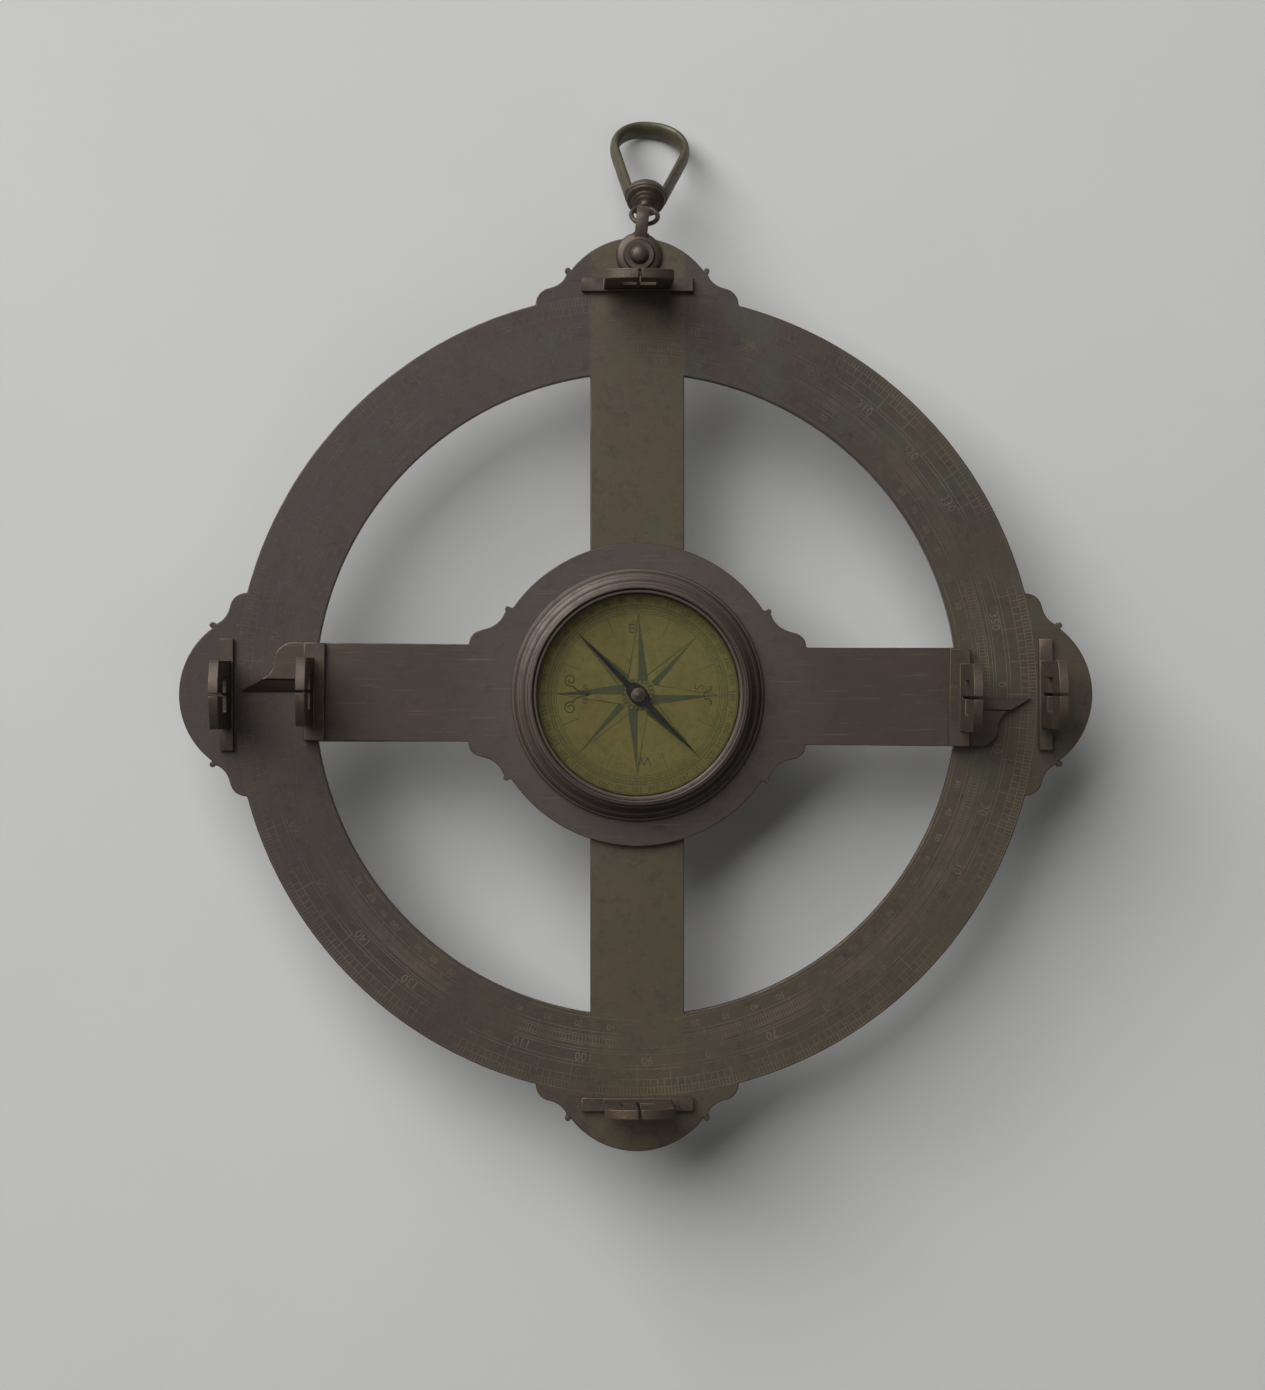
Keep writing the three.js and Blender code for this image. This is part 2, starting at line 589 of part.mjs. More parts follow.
function shackle() {
  const bore = RIVET_RADIUS + GAP;
  const front = turned([
    [bore, cheekInner], [CHEEK_RADIUS, cheekInner], [CHEEK_RADIUS, cheekInner + 1.2],
    [7.4, cheekInner + 2.1], [6, cheekInner + 2.6], [5.7, cheekTop], [bore, cheekTop],
    [bore, cheekInner],
  ], 24);
  const back = turned([
    [bore, -cheekTop], [6, -cheekTop], [CHEEK_RADIUS, -cheekInner - 1.2], [CHEEK_RADIUS, -cheekInner],
    [bore, -cheekInner], [bore, -cheekTop],
  ], 24);
  const start = 4; // where the strap leaves the rivet's surroundings
  const side = new THREE.Shape();
  side.moveTo(start, BOW_INNER);
  side.lineTo(start, BOW_OUTER);
  side.absarc(BOW_CENTRE, 0, BOW_OUTER, Math.PI / 2, -Math.PI / 2, true);
  side.lineTo(start, -BOW_OUTER);
  side.lineTo(start, -BOW_INNER);
  side.absarc(BOW_CENTRE, 0, BOW_INNER, -Math.PI / 2, Math.PI / 2, false);
  const bow = slab(side, -STRAP_WIDTH / 2, STRAP_WIDTH / 2, 8);
  bow.applyMatrix4(new THREE.Matrix4().makeBasis(
    new THREE.Vector3(0, 1, 0), new THREE.Vector3(0, 0, 1), new THREE.Vector3(1, 0, 0)));
  return join(front, back, bow);
}

add(suspension, 'shackle', shackle(), bronze);

// The eye, its collar and stem, and the loop share an axis that leaves the middle of the bow.
// They are made along +Y from the eye's middle, and lean together.
const leaning = new THREE.Group();
leaning.position.set(EYE_SIDE, BOW_CENTRE, 0);
leaning.rotation.x = LOOP_LEAN;
suspension.add(leaning);

function alongStem(points, segments) {
  return turned(points, segments).rotateX(-Math.PI / 2);
}

function swivelEye() {
  const eye = new THREE.TorusGeometry(EYE_RADIUS, EYE_WIRE, 8, 20);
  const stem = 2.2;
  const collar = alongStem([
    [0, 4.5], [1.9, 4.5], [2.6, 5.9], [4, 6.5], [4, 7.1], [5.2, 7.4], [5.2, 8], [6.4, 8.3],
    [7.3, 8.9], [7.3, LOOP_BOSS.start - GAP], [stem, LOOP_BOSS.start - GAP],
    [stem, LOOP_BOSS.end + 1.9], [3.2, LOOP_BOSS.end + 1.9], [2.4, LOOP_BOSS.end + 3],
    [0, LOOP_BOSS.end + 3.3],
  ], 18);
  return join(eye, collar);
}

add(leaning, 'swivel_eye', swivelEye(), bronze).position.y = EYE_OFFSET;
const washerStart = LOOP_BOSS.end + GAP;
add(leaning, 'swivel_washer', alongStem([
  [2.5, washerStart], [4.4, washerStart], [4.4, washerStart + 1], [2.5, washerStart + 1], [2.5, washerStart],
], 20), oldBrass).position.y = EYE_OFFSET;

function handLoop() {
  const legStart = new THREE.Vector3(6.2, LOOP_BOSS.start + 1.4, 0);
  const shoulder = new THREE.Vector3(12.9, 36, 0);
  const crown = new THREE.Vector3(0, LOOP_CROWN, 0);
  const left = (v) => new THREE.Vector3(-v.x, v.y, v.z);
  const bend = new THREE.Vector3(15.2, 44.5, 0);
  const crownHandle = new THREE.Vector3(10.5, LOOP_CROWN, 0);
  const path = new THREE.CurvePath();
  path.add(new THREE.LineCurve3(left(legStart), left(shoulder)));
  path.add(new THREE.CubicBezierCurve3(left(shoulder), left(bend), left(crownHandle), crown));
  path.add(new THREE.CubicBezierCurve3(crown, crownHandle, bend, shoulder));
  path.add(new THREE.LineCurve3(shoulder, legStart));
  const section = new THREE.Shape();
  section.absellipse(0, 0, LOOP_SECTION.across, LOOP_SECTION.inPlane, 0, 2 * Math.PI, false, 0);
  const bar = new THREE.ExtrudeGeometry(section, {
    steps: 32, curveSegments: 5, bevelEnabled: false, extrudePath: path,
  });
  const { start, end, radius } = LOOP_BOSS;
  const boss = alongStem([
    [2.5, start], [radius - 0.5, start], [radius, start + 0.6], [radius, end - 0.6], [radius - 0.5, end],
    [2.5, end], [2.5, start],
  ], 20);
  return join(bar, boss);
}

add(leaning, 'hand_loop', handLoop(), greenBrass).position.y = EYE_OFFSET;

export default group;
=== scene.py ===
"""A brass sighting circle: graduated ring on spokes, fixed sights, a turning alidade with its
own sights and compass, and a swivelling hand loop. It lies face up, its back boss on a pale floor.

Sizes are in millimetres and MM turns them to Blender's metres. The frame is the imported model's:
+Z out of the graduated face, +Y to the hand loop, the alidade's axis through the origin.
"""

import math

import bpy
from mathutils import Matrix, Vector


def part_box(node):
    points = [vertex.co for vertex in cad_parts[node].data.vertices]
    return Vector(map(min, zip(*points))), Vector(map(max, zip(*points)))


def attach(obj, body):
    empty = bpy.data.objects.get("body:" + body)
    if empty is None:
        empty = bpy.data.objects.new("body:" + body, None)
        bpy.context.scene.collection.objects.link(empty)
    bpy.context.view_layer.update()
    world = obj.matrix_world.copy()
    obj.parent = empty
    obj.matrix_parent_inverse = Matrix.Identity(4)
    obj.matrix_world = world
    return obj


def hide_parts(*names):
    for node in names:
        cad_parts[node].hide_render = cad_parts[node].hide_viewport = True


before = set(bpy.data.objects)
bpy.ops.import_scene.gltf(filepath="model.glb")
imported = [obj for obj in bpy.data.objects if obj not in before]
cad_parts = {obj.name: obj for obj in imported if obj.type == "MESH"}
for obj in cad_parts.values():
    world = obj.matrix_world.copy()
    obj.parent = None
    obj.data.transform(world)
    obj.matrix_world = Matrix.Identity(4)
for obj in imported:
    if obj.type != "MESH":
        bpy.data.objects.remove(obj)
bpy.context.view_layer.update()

MM = 0.001
MICRON = 1e-6


def low(node):
    """The underside of a CAD node, in mm."""
    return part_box(node)[0].z / MM


def top(node):
    """The upper side of a CAD node, in mm."""
    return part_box(node)[1].z / MM


# ---- sizes of the circle ----

RING_OUTER = 150
RING_INNER = 120
SPOKE_WIDTH = 35
HUB_RADIUS = 48
PLATE_BACK, PLATE_FACE = low("limb_plate"), top("limb_plate")
LOBE_CENTRE = 139.4  # distance of the lobe's arc centre from the middle
LOBE_RADIUS = 31
KNOB_ANGLE = 54.3  # where the small knob sits on the lobe's arc, in degrees
KNOB_RADIUS = 1.1
STUD_BORE = 9.3
RIVET_BORE = 2.2
LOBE_ROOT = 37.9  # half the width of a lobe where it meets the ring
SIGHT_SCREW_HOLE = 1.4
BOSS_SCREW_HOLE = 1.9

# ---- sizes of the alidade ----

RULE_TURN = -0.55  # degrees off the cross line
RULE_BACK, RULE_FACE = low("alidade_plate"), top("alidade_plate")
RULE_HALF_WIDTH = 18.15
RULE_DISC_RADIUS = 56.4
RULE_SHORT_END = 123.8
RULE_TIP = 147.5
BEVEL_START = 123.8
BEVEL_WIDTH = 4.4
BEVEL_DROP = 2.2
BOX_BASE, BOX_TOP = low("compass_box"), top("compass_box")
DIAL_FACE = top("compass_dial")
DIAL_RADIUS = 37.3
NEEDLE_TURN = -45 + RULE_TURN

# ---- sizes of the suspension ----

RIVET_PLACE = Vector((0.6, 163.6, (PLATE_BACK + PLATE_FACE) / 2)) * MM
SHACKLE_TURN = -5.5
CHEEK_RADIUS = 8.5
BOW_CENTRE = 13.2
LOOP_LEAN = -43.4
EYE_OFFSET = 3.6
EYE_SIDE = 0.7  # the eye hangs to one side of the bow
STEM_RADIUS = 2.2
LOOP_BOSS = (10, 12.8)  # along the stem, from the eye's middle
LOOP_BOSS_RADIUS = 7.6
LOOP_CROWN = 53.1


# ---- modelling by hand ----


def deselect():
    if bpy.context.mode != "OBJECT":
        bpy.ops.object.mode_set(mode="OBJECT")
    bpy.ops.object.select_all(action="DESELECT")


def pick(piece):
    deselect()
    piece.select_set(True)
    bpy.context.view_layer.objects.active = piece


def edit_all(piece):
    """Opens a piece in edit mode with all of it selected."""
    pick(piece)
    bpy.ops.object.mode_set(mode="EDIT")
    bpy.ops.mesh.select_all(action="SELECT")


def named(name):
    """Names the piece that was just added."""
    piece = bpy.context.object
    piece.name = piece.data.name = name
    return piece


def place(piece, matrix):
    """Moves a piece, then sets its place in its mesh."""
    pick(piece)
    piece.matrix_world = matrix @ piece.matrix_world
    bpy.ops.object.transform_apply(location=True, rotation=True, scale=True)
    return piece


def spin_z(degrees):
    return Matrix.Rotation(math.radians(degrees), 4, "Z")


def copied(piece, name):
    pick(piece)
    bpy.ops.object.duplicate()
    return named(name)


def joined(name, pieces):
    deselect()
    for piece in pieces:
        piece.select_set(True)
    bpy.context.view_layer.objects.active = pieces[0]
    bpy.ops.object.join()
    return named(name)


def closed(piece):
    """Merges what meets, drops loose ends and turns the faces outward."""
    edit_all(piece)
    bpy.ops.mesh.remove_doubles(threshold=MICRON)
    bpy.ops.mesh.delete_loose()
    bpy.ops.mesh.select_all(action="SELECT")
    bpy.ops.mesh.normals_make_consistent(inside=False)
    bpy.ops.object.mode_set(mode="OBJECT")
    return piece


def sawn(name, outline, bottom, height_top):
    """Sheet sawn to an outline of (x, y) points, between two heights."""
    deselect()
    bpy.ops.mesh.primitive_circle_add(vertices=len(outline), radius=MM, fill_type="NGON")
    piece = named(name)
    for vertex, (x, y) in zip(piece.data.vertices, outline):
        vertex.co = Vector((x, y, bottom)) * MM
    edit_all(piece)
    rise = (0, 0, (height_top - bottom) * MM)
    bpy.ops.mesh.extrude_region_move(TRANSFORM_OT_translate={"value": rise})
    return closed(piece)


def turned(name, profile, steps=96):
    """A piece turned about Z from a closed loop of (radius, height) points."""
    deselect()
    bpy.ops.mesh.primitive_circle_add(vertices=len(profile), radius=MM, fill_type="NOTHING")
    piece = named(name)
    for vertex, (radius, height) in zip(piece.data.vertices, profile):
        vertex.co = Vector((radius, 0, height)) * MM
    edit_all(piece)
    bpy.ops.mesh.spin(steps=steps, angle=math.tau, center=(0, 0, 0), axis=(0, 0, 1))
    return closed(piece)


def modify(piece, kind, **settings):
    pick(piece)
    bpy.ops.object.modifier_add(type=kind)
    modifier = piece.modifiers[-1]
    for setting, value in settings.items():
        setattr(modifier, setting, value)
    bpy.ops.object.modifier_apply(modifier=modifier.name)


def carve(piece, tool, operation="DIFFERENCE"):
    """Cuts a tool out of a piece, or joins it on."""
    modify(piece, "BOOLEAN", operation=operation, object=tool, solver="MANIFOLD")
    bpy.data.objects.remove(tool)


def soften(piece, width, angle=30, edge_slot=0):
    """Breaks the sharp edges. The new facets take the material in edge_slot."""
    modify(piece, "BEVEL", width=width * MM, segments=2, limit_method="ANGLE",
           angle_limit=math.radians(angle), use_clamp_overlap=False, material=edge_slot)


def smooth(piece, angle=20):
    pick(piece)
    bpy.ops.object.shade_smooth_by_angle(angle=math.radians(angle))


def arc(x, y, radius, start, end, steps):
    """Points on an arc, from one angle to another in degrees."""
    angles = [math.radians(start + (end - start) * i / steps) for i in range(steps + 1)]
    return [(x + radius * math.cos(a), y + radius * math.sin(a)) for a in angles]


def sweep(start, handle, end, steps=8):
    """Points on a curve towards a handle and away, without its first point."""
    points = []
    for i in range(1, steps + 1):
        t = i / steps
        weights = ((1 - t) ** 2, 2 * t * (1 - t), t**2)
        points.append(tuple(sum(w * p[k] for w, p in zip(weights, (start, handle, end)))
                            for k in range(2)))
    return points


def spun(points, degrees):
    """Points turned about the origin."""
    c, s = math.cos(math.radians(degrees)), math.sin(math.radians(degrees))
    return [(x * c - y * s, x * s + y * c) for x, y in points]


# ---- materials ----

FACTOR, MIX_A, MIX_B, MIXED = 0, 6, 7, 2  # a colour Mix node's sockets
WAVE_PITCH = 0.314  # a Wave node's ring spacing at a scale of one


def srgb(code):
    """Linear RGBA from an sRGB hex colour."""
    parts = [int(code[i : i + 2], 16) / 255 for i in (1, 3, 5)]
    return (*(p / 12.92 if p <= 0.04045 else ((p + 0.055) / 1.055) ** 2.4 for p in parts), 1.0)


def per_mm(size):
    """The texture scale whose features are about this many millimetres."""
    return 1 / (size * MM)


def add_node(material, kind, inputs=None, **settings):
    """Adds a node with its settings, and fills its inputs with values or other nodes' outputs."""
    node = material.node_tree.nodes.new(kind)
    for setting, value in settings.items():
        setattr(node, setting, value)
    for socket, value in (inputs or {}).items():
        if isinstance(value, bpy.types.NodeSocket):
            material.node_tree.links.new(value, node.inputs[socket])
        else:
            node.inputs[socket].default_value = value
    return node


def new_material(name):
    material = bpy.data.materials.new(name)
    material.use_nodes = True
    material.node_tree.nodes.clear()
    return material


def stain(material, where, below, colour, patch, start, end, strength=1.0, shift=0.0,
          stretch=(1, 1, 1), towards=(0, 0, 0)):
    """Lays a colour over what is below it, in patches about this many millimetres across that
    may grow towards one side. Gives the new colour, and how much of the stain each spot has."""
    moved = add_node(material, "ShaderNodeMapping", {
        "Vector": where, "Location": (shift, -shift, 0), "Scale": stretch})
    cloud = add_node(material, "ShaderNodeTexNoise", {
        "Vector": moved.outputs[0], "Scale": per_mm(patch), "Detail": 6, "Roughness": 0.65})
    aside = add_node(material, "ShaderNodeVectorMath", {0: where, 1: towards},
                     operation="DOT_PRODUCT")
    grown = add_node(material, "ShaderNodeMath", {
        0: cloud.outputs[0], 1: aside.outputs["Value"]}, operation="ADD")
    amount = add_node(material, "ShaderNodeMapRange", {
        "Value": grown.outputs[0], "From Min": start, "From Max": end, "To Max": strength},
        interpolation_type="SMOOTHSTEP")
    both = add_node(material, "ShaderNodeMix", {
        FACTOR: amount.outputs[0], MIX_A: below, MIX_B: srgb(colour)}, data_type="RGBA")
    return both.outputs[MIXED], amount.outputs[0]


def toned(material, where, below, colour, reach_mm, fade_mm, axes, strength=0.75):
    """Lays a colour within a distance of the middle, counted along these axes only: a bar
    along Y for (1, 0, 0), a disc for (1, 1, 0). It fades out over the fade's length."""
    flat = add_node(material, "ShaderNodeVectorMath", {0: where, 1: axes}, operation="MULTIPLY")
    far = add_node(material, "ShaderNodeVectorMath", {0: flat.outputs[0]}, operation="LENGTH")
    inside = add_node(material, "ShaderNodeMapRange", {
        "Value": far.outputs["Value"], "From Min": reach_mm * MM,
        "From Max": (reach_mm + fade_mm) * MM, "To Min": strength, "To Max": 0})
    return add_node(material, "ShaderNodeMix", {
        FACTOR: inside.outputs[0], MIX_A: below, MIX_B: srgb(colour)},
        data_type="RGBA").outputs[MIXED]


def patinated_brass(name, ground, warm, dull, damp=0.35, along=(1, 1, 1), metallic=0.45,
                    orange=0.0, rings=False, zone=None, towards=(0, 0, 0), damp_mm=21,
                    damp_side=(0, 0, 0), rubbed_and_glint=0.28):
    """Old brass under a brown oxide: matt, clouded between two browns, with fine rubbed
    scratches along the metal, pits, and a little green where damp stood. Made strong, the light
    scratch specks also serve as painted glints."""
    material = new_material(name)
    where = add_node(material, "ShaderNodeTexCoord").outputs["Object"]
    colour, _ = stain(material, where, srgb(ground), warm, 48, 0.36, 0.66, towards=towards)
    if zone:
        colour = toned(material, where, colour, *zone)
    colour, mottle = stain(material, where, colour, dull, 6, 0.46, 0.72, 0.55, 0.3)
    colour, _ = stain(material, where, colour, "#7b5634", 5, 0.56, 0.68, orange, 0.9)
    # pale scratch specks: real rubbing, and where their strength is raised, painted glints too
    colour, scratch_and_glint = stain(material, where, colour, "#8a7f6c", 0.9, 0.56, 0.74, rubbed_and_glint, 0,
                            along)
    colour, _ = stain(material, where, colour, "#4c5a48", damp_mm, 0.6, 0.7, damp, 0.7,
                      towards=damp_side)
    colour, pit = stain(material, where, colour, "#2e251d", 2.2, 0.66, 0.72, 0.5, 0.2)
    grain = add_node(material, "ShaderNodeMath", {0: mottle, 1: scratch_and_glint}, operation="ADD")
    worn = add_node(material, "ShaderNodeMath", {0: grain.outputs[0], 1: pit},
                    operation="SUBTRACT")
    height = worn.outputs[0]
    if rings:  # a turning tool leaves one about every 0.7 mm
        turning = add_node(material, "ShaderNodeTexWave", {
            "Vector": where, "Scale": WAVE_PITCH * per_mm(0.7), "Distortion": 0.6,
            "Detail": 1}, wave_type="RINGS", rings_direction="Z")
        height = add_node(material, "ShaderNodeMath", {
            0: turning.outputs["Fac"], 1: 0.4, 2: height}, operation="MULTIPLY_ADD").outputs[0]
    bump = add_node(material, "ShaderNodeBump", {
        "Height": height, "Strength": 0.4, "Distance": 0.1 * MM})
    roughness = add_node(material, "ShaderNodeMapRange", {
        "Value": mottle, "To Min": 0.44, "To Max": 0.66})
    brass = add_node(material, "ShaderNodeBsdfPrincipled", {
        "Base Color": colour, "Metallic": metallic, "Roughness": roughness.outputs[0],
        "Normal": bump.outputs[0]})
    add_node(material, "ShaderNodeOutputMaterial", {"Surface": brass.outputs[0]})
    return material


# Rolled plate under a chocolate brown that goes olive towards its lower right, with its
# upright bar in a paler metal: the circle is one dark tone with a band from top to bottom.
plate_brown = patinated_brass("circle_brown_patina", "#4b413e", "#574d40", "#3f3633",
                              zone=("#5c523f", 17, 1.4, (1, 0, 0)), towards=(0.9, -0.7, 0),
                              damp_side=(0.45, 0.4, 0))
# The same sheet, redder and handled more: the alidade, with scratches along its arms and a
# greyer disc in its middle.
rule_brown = patinated_brass("alidade_brown_patina", "#4c413a", "#52463e", "#413733",
                             damp=0.1, along=(0.04, 1, 1),
                             zone=("#59514d", 50, 26, (1, 1, 0)))
# Turned brass with the tool's fine rings left in: the compass box, its bezel and the boss.
box_brown = patinated_brass("turned_brown_brass", "#574c46", "#5d5147", "#453c37",
                            damp=0.12, rings=True)
# Forged and filed brass gone dark: shackle, eye, rivet and the needle's cap.
filed_brown = patinated_brass("filed_brown_brass", "#4b413a", "#574b3f", "#38302b", damp=0.2)
# Sights, where fingers keep the metal lighter, with the orange of old lacquer.
sight_brown = patinated_brass("handled_sight_brass", "#4b413a", "#574c40", "#3a322d",
                              damp=0.12, metallic=0.5, orange=0.5)
# The loop has hung in damp air: grey-green over brown. Its light scratch specks are made strong so
# that they also stand in as painted glints along the bar.
loop_green = patinated_brass("damp_loop_brass", "#524a3c", "#66644e", "#35322b", damp=0.75,
                             damp_mm=7, rubbed_and_glint=0.5)
# Small brass parts, plain and slightly brighter: screws, washers and nut.
small_brass = patinated_brass("small_part_brass", "#54493b", "#625541", "#3f372d", damp=0.1,
                              metallic=0.6)


def rubbed_edge(name, ground, bright):
    """Edges where handling has worn the patina thin, in patches."""
    material = new_material(name)
    where = add_node(material, "ShaderNodeTexCoord").outputs["Object"]
    colour, worn = stain(material, where, srgb(ground), bright, 14, 0.46, 0.66)
    roughness = add_node(material, "ShaderNodeMapRange", {
        "Value": worn, "To Min": 0.55, "To Max": 0.4})
    edge = add_node(material, "ShaderNodeBsdfPrincipled", {
        "Base Color": colour, "Metallic": 0.6, "Roughness": roughness.outputs[0]})
    add_node(material, "ShaderNodeOutputMaterial", {"Surface": edge.outputs[0]})
    return material


plate_edge = rubbed_edge("worn_plate_edge", "#4b413a", "#5c5142")
sight_edge = rubbed_edge("worn_sight_edge", "#4f453b", "#665842")


def dial_brass():
    """Engraved dial plate, once gilt and lacquered: yellow metal dulled to olive, browner in
    clouds, with faint turning marks."""
    material = new_material("lacquered_dial_brass")
    where = add_node(material, "ShaderNodeTexCoord").outputs["Object"]
    colour, _ = stain(material, where, srgb("#675d33"), "#63542c", 26, 0.36, 0.64)
    colour, mottle = stain(material, where, colour, "#454022", 2.5, 0.42, 0.75, 0.55)
    turning = add_node(material, "ShaderNodeTexWave", {
        "Vector": where, "Scale": WAVE_PITCH * per_mm(0.6), "Distortion": 0.6, "Detail": 1},
        wave_type="RINGS", rings_direction="Z")
    height = add_node(material, "ShaderNodeMath", {
        0: turning.outputs["Fac"], 1: 0.5, 2: mottle}, operation="MULTIPLY_ADD")
    bump = add_node(material, "ShaderNodeBump", {
        "Height": height.outputs[0], "Strength": 0.25, "Distance": 0.05 * MM})
    roughness = add_node(material, "ShaderNodeMapRange", {
        "Value": mottle, "To Min": 0.42, "To Max": 0.58})
    plate = add_node(material, "ShaderNodeBsdfPrincipled", {
        "Base Color": colour, "Metallic": 0.5, "Normal": bump.outputs[0],
        "Roughness": roughness.outputs[0]})
    add_node(material, "ShaderNodeOutputMaterial", {"Surface": plate.outputs[0]})
    return material


def filled_cut(name, closed_up, clean, towards=(0, 0, 0)):
    """Engraved lines, nearly closed by the patina in places and still clean in others."""
    material = new_material(name)
    where = add_node(material, "ShaderNodeTexCoord").outputs["Object"]
    colour, _ = stain(material, where, srgb(closed_up), clean, 30, 0.4, 0.68, towards=towards)
    filling = add_node(material, "ShaderNodeBsdfPrincipled", {
        "Base Color": colour, "Metallic": 0.3, "Roughness": 0.65})
    add_node(material, "ShaderNodeOutputMaterial", {"Surface": filling.outputs[0]})
    return material


scale_cut = filled_cut("dusty_scale_cut", "#534a43", "#766a57", (0.5, -0.4, 0))
dial_cut = filled_cut("waxed_dial_cut", "#2b2817", "#1f1d12")
rose_cut = filled_cut("hatched_rose_cut", "#37371f", "#2b2b1a")


def blued_steel():
    """Blued steel, gone brown and dull: needle, pin, stud and sighting hairs."""
    material = new_material("dull_blued_steel")
    where = add_node(material, "ShaderNodeTexCoord").outputs["Object"]
    colour, rust = stain(material, where, srgb("#24262a"), "#3b2f27", 3, 0.5, 0.7)
    roughness = add_node(material, "ShaderNodeMapRange", {
        "Value": rust, "To Min": 0.38, "To Max": 0.6})
    steel = add_node(material, "ShaderNodeBsdfPrincipled", {
        "Base Color": colour, "Metallic": 0.8, "Roughness": roughness.outputs[0]})
    add_node(material, "ShaderNodeOutputMaterial", {"Surface": steel.outputs[0]})
    return material


def crown_glass():
    """Old flat crown glass: clear, faintly uneven, letting lamps through to the dial."""
    material = new_material("flat_crown_glass")
    where = add_node(material, "ShaderNodeTexCoord").outputs["Object"]
    cloud = add_node(material, "ShaderNodeTexNoise", {"Vector": where, "Scale": per_mm(14)})
    ripple = add_node(material, "ShaderNodeBump", {
        "Height": cloud.outputs[0], "Strength": 0.1, "Distance": 0.05 * MM})
    glass = add_node(material, "ShaderNodeBsdfPrincipled", {
        "Base Color": srgb("#f2f6f2"), "Roughness": 0.03, "IOR": 1.5,
        "Transmission Weight": 1.0, "Normal": ripple.outputs[0]})
    clear = add_node(material, "ShaderNodeBsdfTransparent", {"Color": srgb("#f2f6f2")})
    path = add_node(material, "ShaderNodeLightPath")
    pane = add_node(material, "ShaderNodeMixShader", {
        0: path.outputs["Is Shadow Ray"], 1: glass.outputs[0], 2: clear.outputs[0]})
    add_node(material, "ShaderNodeOutputMaterial", {"Surface": pane.outputs[0]})
    return material


dial_olive = dial_brass()
needle_steel = blued_steel()
window_glass = crown_glass()


def dress(piece, *materials):
    """Gives a piece its materials, the body's first and the rubbed edge's after it."""
    piece.data.materials.clear()
    for material in materials:
        piece.data.materials.append(material)
    return piece


def belongs(piece, body, slot, *nodes):
    """Puts a piece on the body that carries it and hides the CAD nodes it stands for. The slot
    argument is not used.
    """
    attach(piece, body)
    if nodes:
        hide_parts(*nodes)
    return piece


# ---- the circle ----


def half_lobe():
    """From a lobe's crown to the ring, x outward and y across."""
    reach = LOBE_RADIUS + 0.9
    knob = spun([(reach, 0)], KNOB_ANGLE)[0]
    ring_join = (math.sqrt(RING_OUTER**2 - LOBE_ROOT**2), LOBE_ROOT)
    points = arc(LOBE_CENTRE, 0, LOBE_RADIUS, 0, KNOB_ANGLE - 1.7, 22)
    points += arc(LOBE_CENTRE + knob[0], knob[1], KNOB_RADIUS, KNOB_ANGLE - 145,
                  KNOB_ANGLE + 110, 12)
    points += sweep(points[-1], (152.9, 27.6), (151.6, 32.3))
    points += sweep(points[-1], (150.6, 37.6), ring_join)
    return points


def limb_outline():
    half = half_lobe()
    lobe = [(x, -y) for x, y in reversed(half[1:])] + half
    start = math.degrees(math.atan2(half[-1][1], half[-1][0]))
    quarter = lobe + arc(0, 0, RING_OUTER, start, 90 - start, 48)[1:-1]
    return [p for turn in range(4) for p in spun(quarter, 90 * turn)]


def quadrant_opening():
    outer = math.degrees(math.asin(SPOKE_WIDTH / 2 / RING_INNER))
    inner = math.degrees(math.asin(SPOKE_WIDTH / 2 / HUB_RADIUS))
    far_side = arc(0, 0, RING_INNER, outer, 90 - outer, 56)
    return far_side + arc(0, 0, HUB_RADIUS, 90 - inner, inner, 14)


def bore(x, y, radius, sides=24):
    """A round tool that reaches through any of the pieces, from below."""
    return sawn("bore", arc(x, y, radius, 0, 360 - 360 / sides, sides - 1), -10, 90)


def centre_of(node):
    """A CAD node's middle in plan, in mm."""
    corner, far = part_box(node)
    return (corner.x + far.x) / 2 / MM, (corner.y + far.y) / 2 / MM


sight_screws = [f"sight_screw_{i}" for i in range(1, 9)]
boss_screws = [f"boss_screw_{i}" for i in range(1, 5)]

limb = sawn("circle_plate", limb_outline(), PLATE_BACK, PLATE_FACE)
opening = sawn("quadrant", quadrant_opening(), PLATE_BACK - 5, PLATE_FACE + 5)
for turn in (90, 180, 270):
    carve(limb, place(copied(opening, "next_quadrant"), spin_z(turn)))
carve(limb, opening)
carve(limb, bore(0, 0, STUD_BORE, 48))
carve(limb, bore(RIVET_PLACE.x / MM, RIVET_PLACE.y / MM, RIVET_BORE))
for node in sight_screws:
    carve(limb, bore(*centre_of(node), SIGHT_SCREW_HOLE, 16))
for node in boss_screws:
    carve(limb, bore(*centre_of(node), BOSS_SCREW_HOLE, 16))
dress(limb, plate_brown, plate_edge)
soften(limb, 0.35, edge_slot=1)
smooth(limb)
belongs(limb, "limb", "dark_brass", "limb_plate")

# ---- its scales ----

CUT_DEPTH = 0.04  # how far a filled cut reaches under the face
CUT_PROUD = 0.02  # and above it
DEGREE_CIRCLES = (149.4, 146.6, 143.7, 139.8, 138.5, 134.4, 133.4)
TANGENT_CIRCLES = (132.0, 131.2, 129.0, 128.2, 126.7, 121.5)


def cut_circles(name, radii, face, width, steps=240):
    """Engraved circles, each a thin closed band let into the face."""
    bottom, crest = face - CUT_DEPTH, face + CUT_PROUD
    rings = [turned("ring_cut", [(r - width / 2, bottom), (r + width / 2, bottom),
                                 (r + width / 2, crest), (r - width / 2, crest)], steps)
             for r in radii]
    return joined(name, rings)


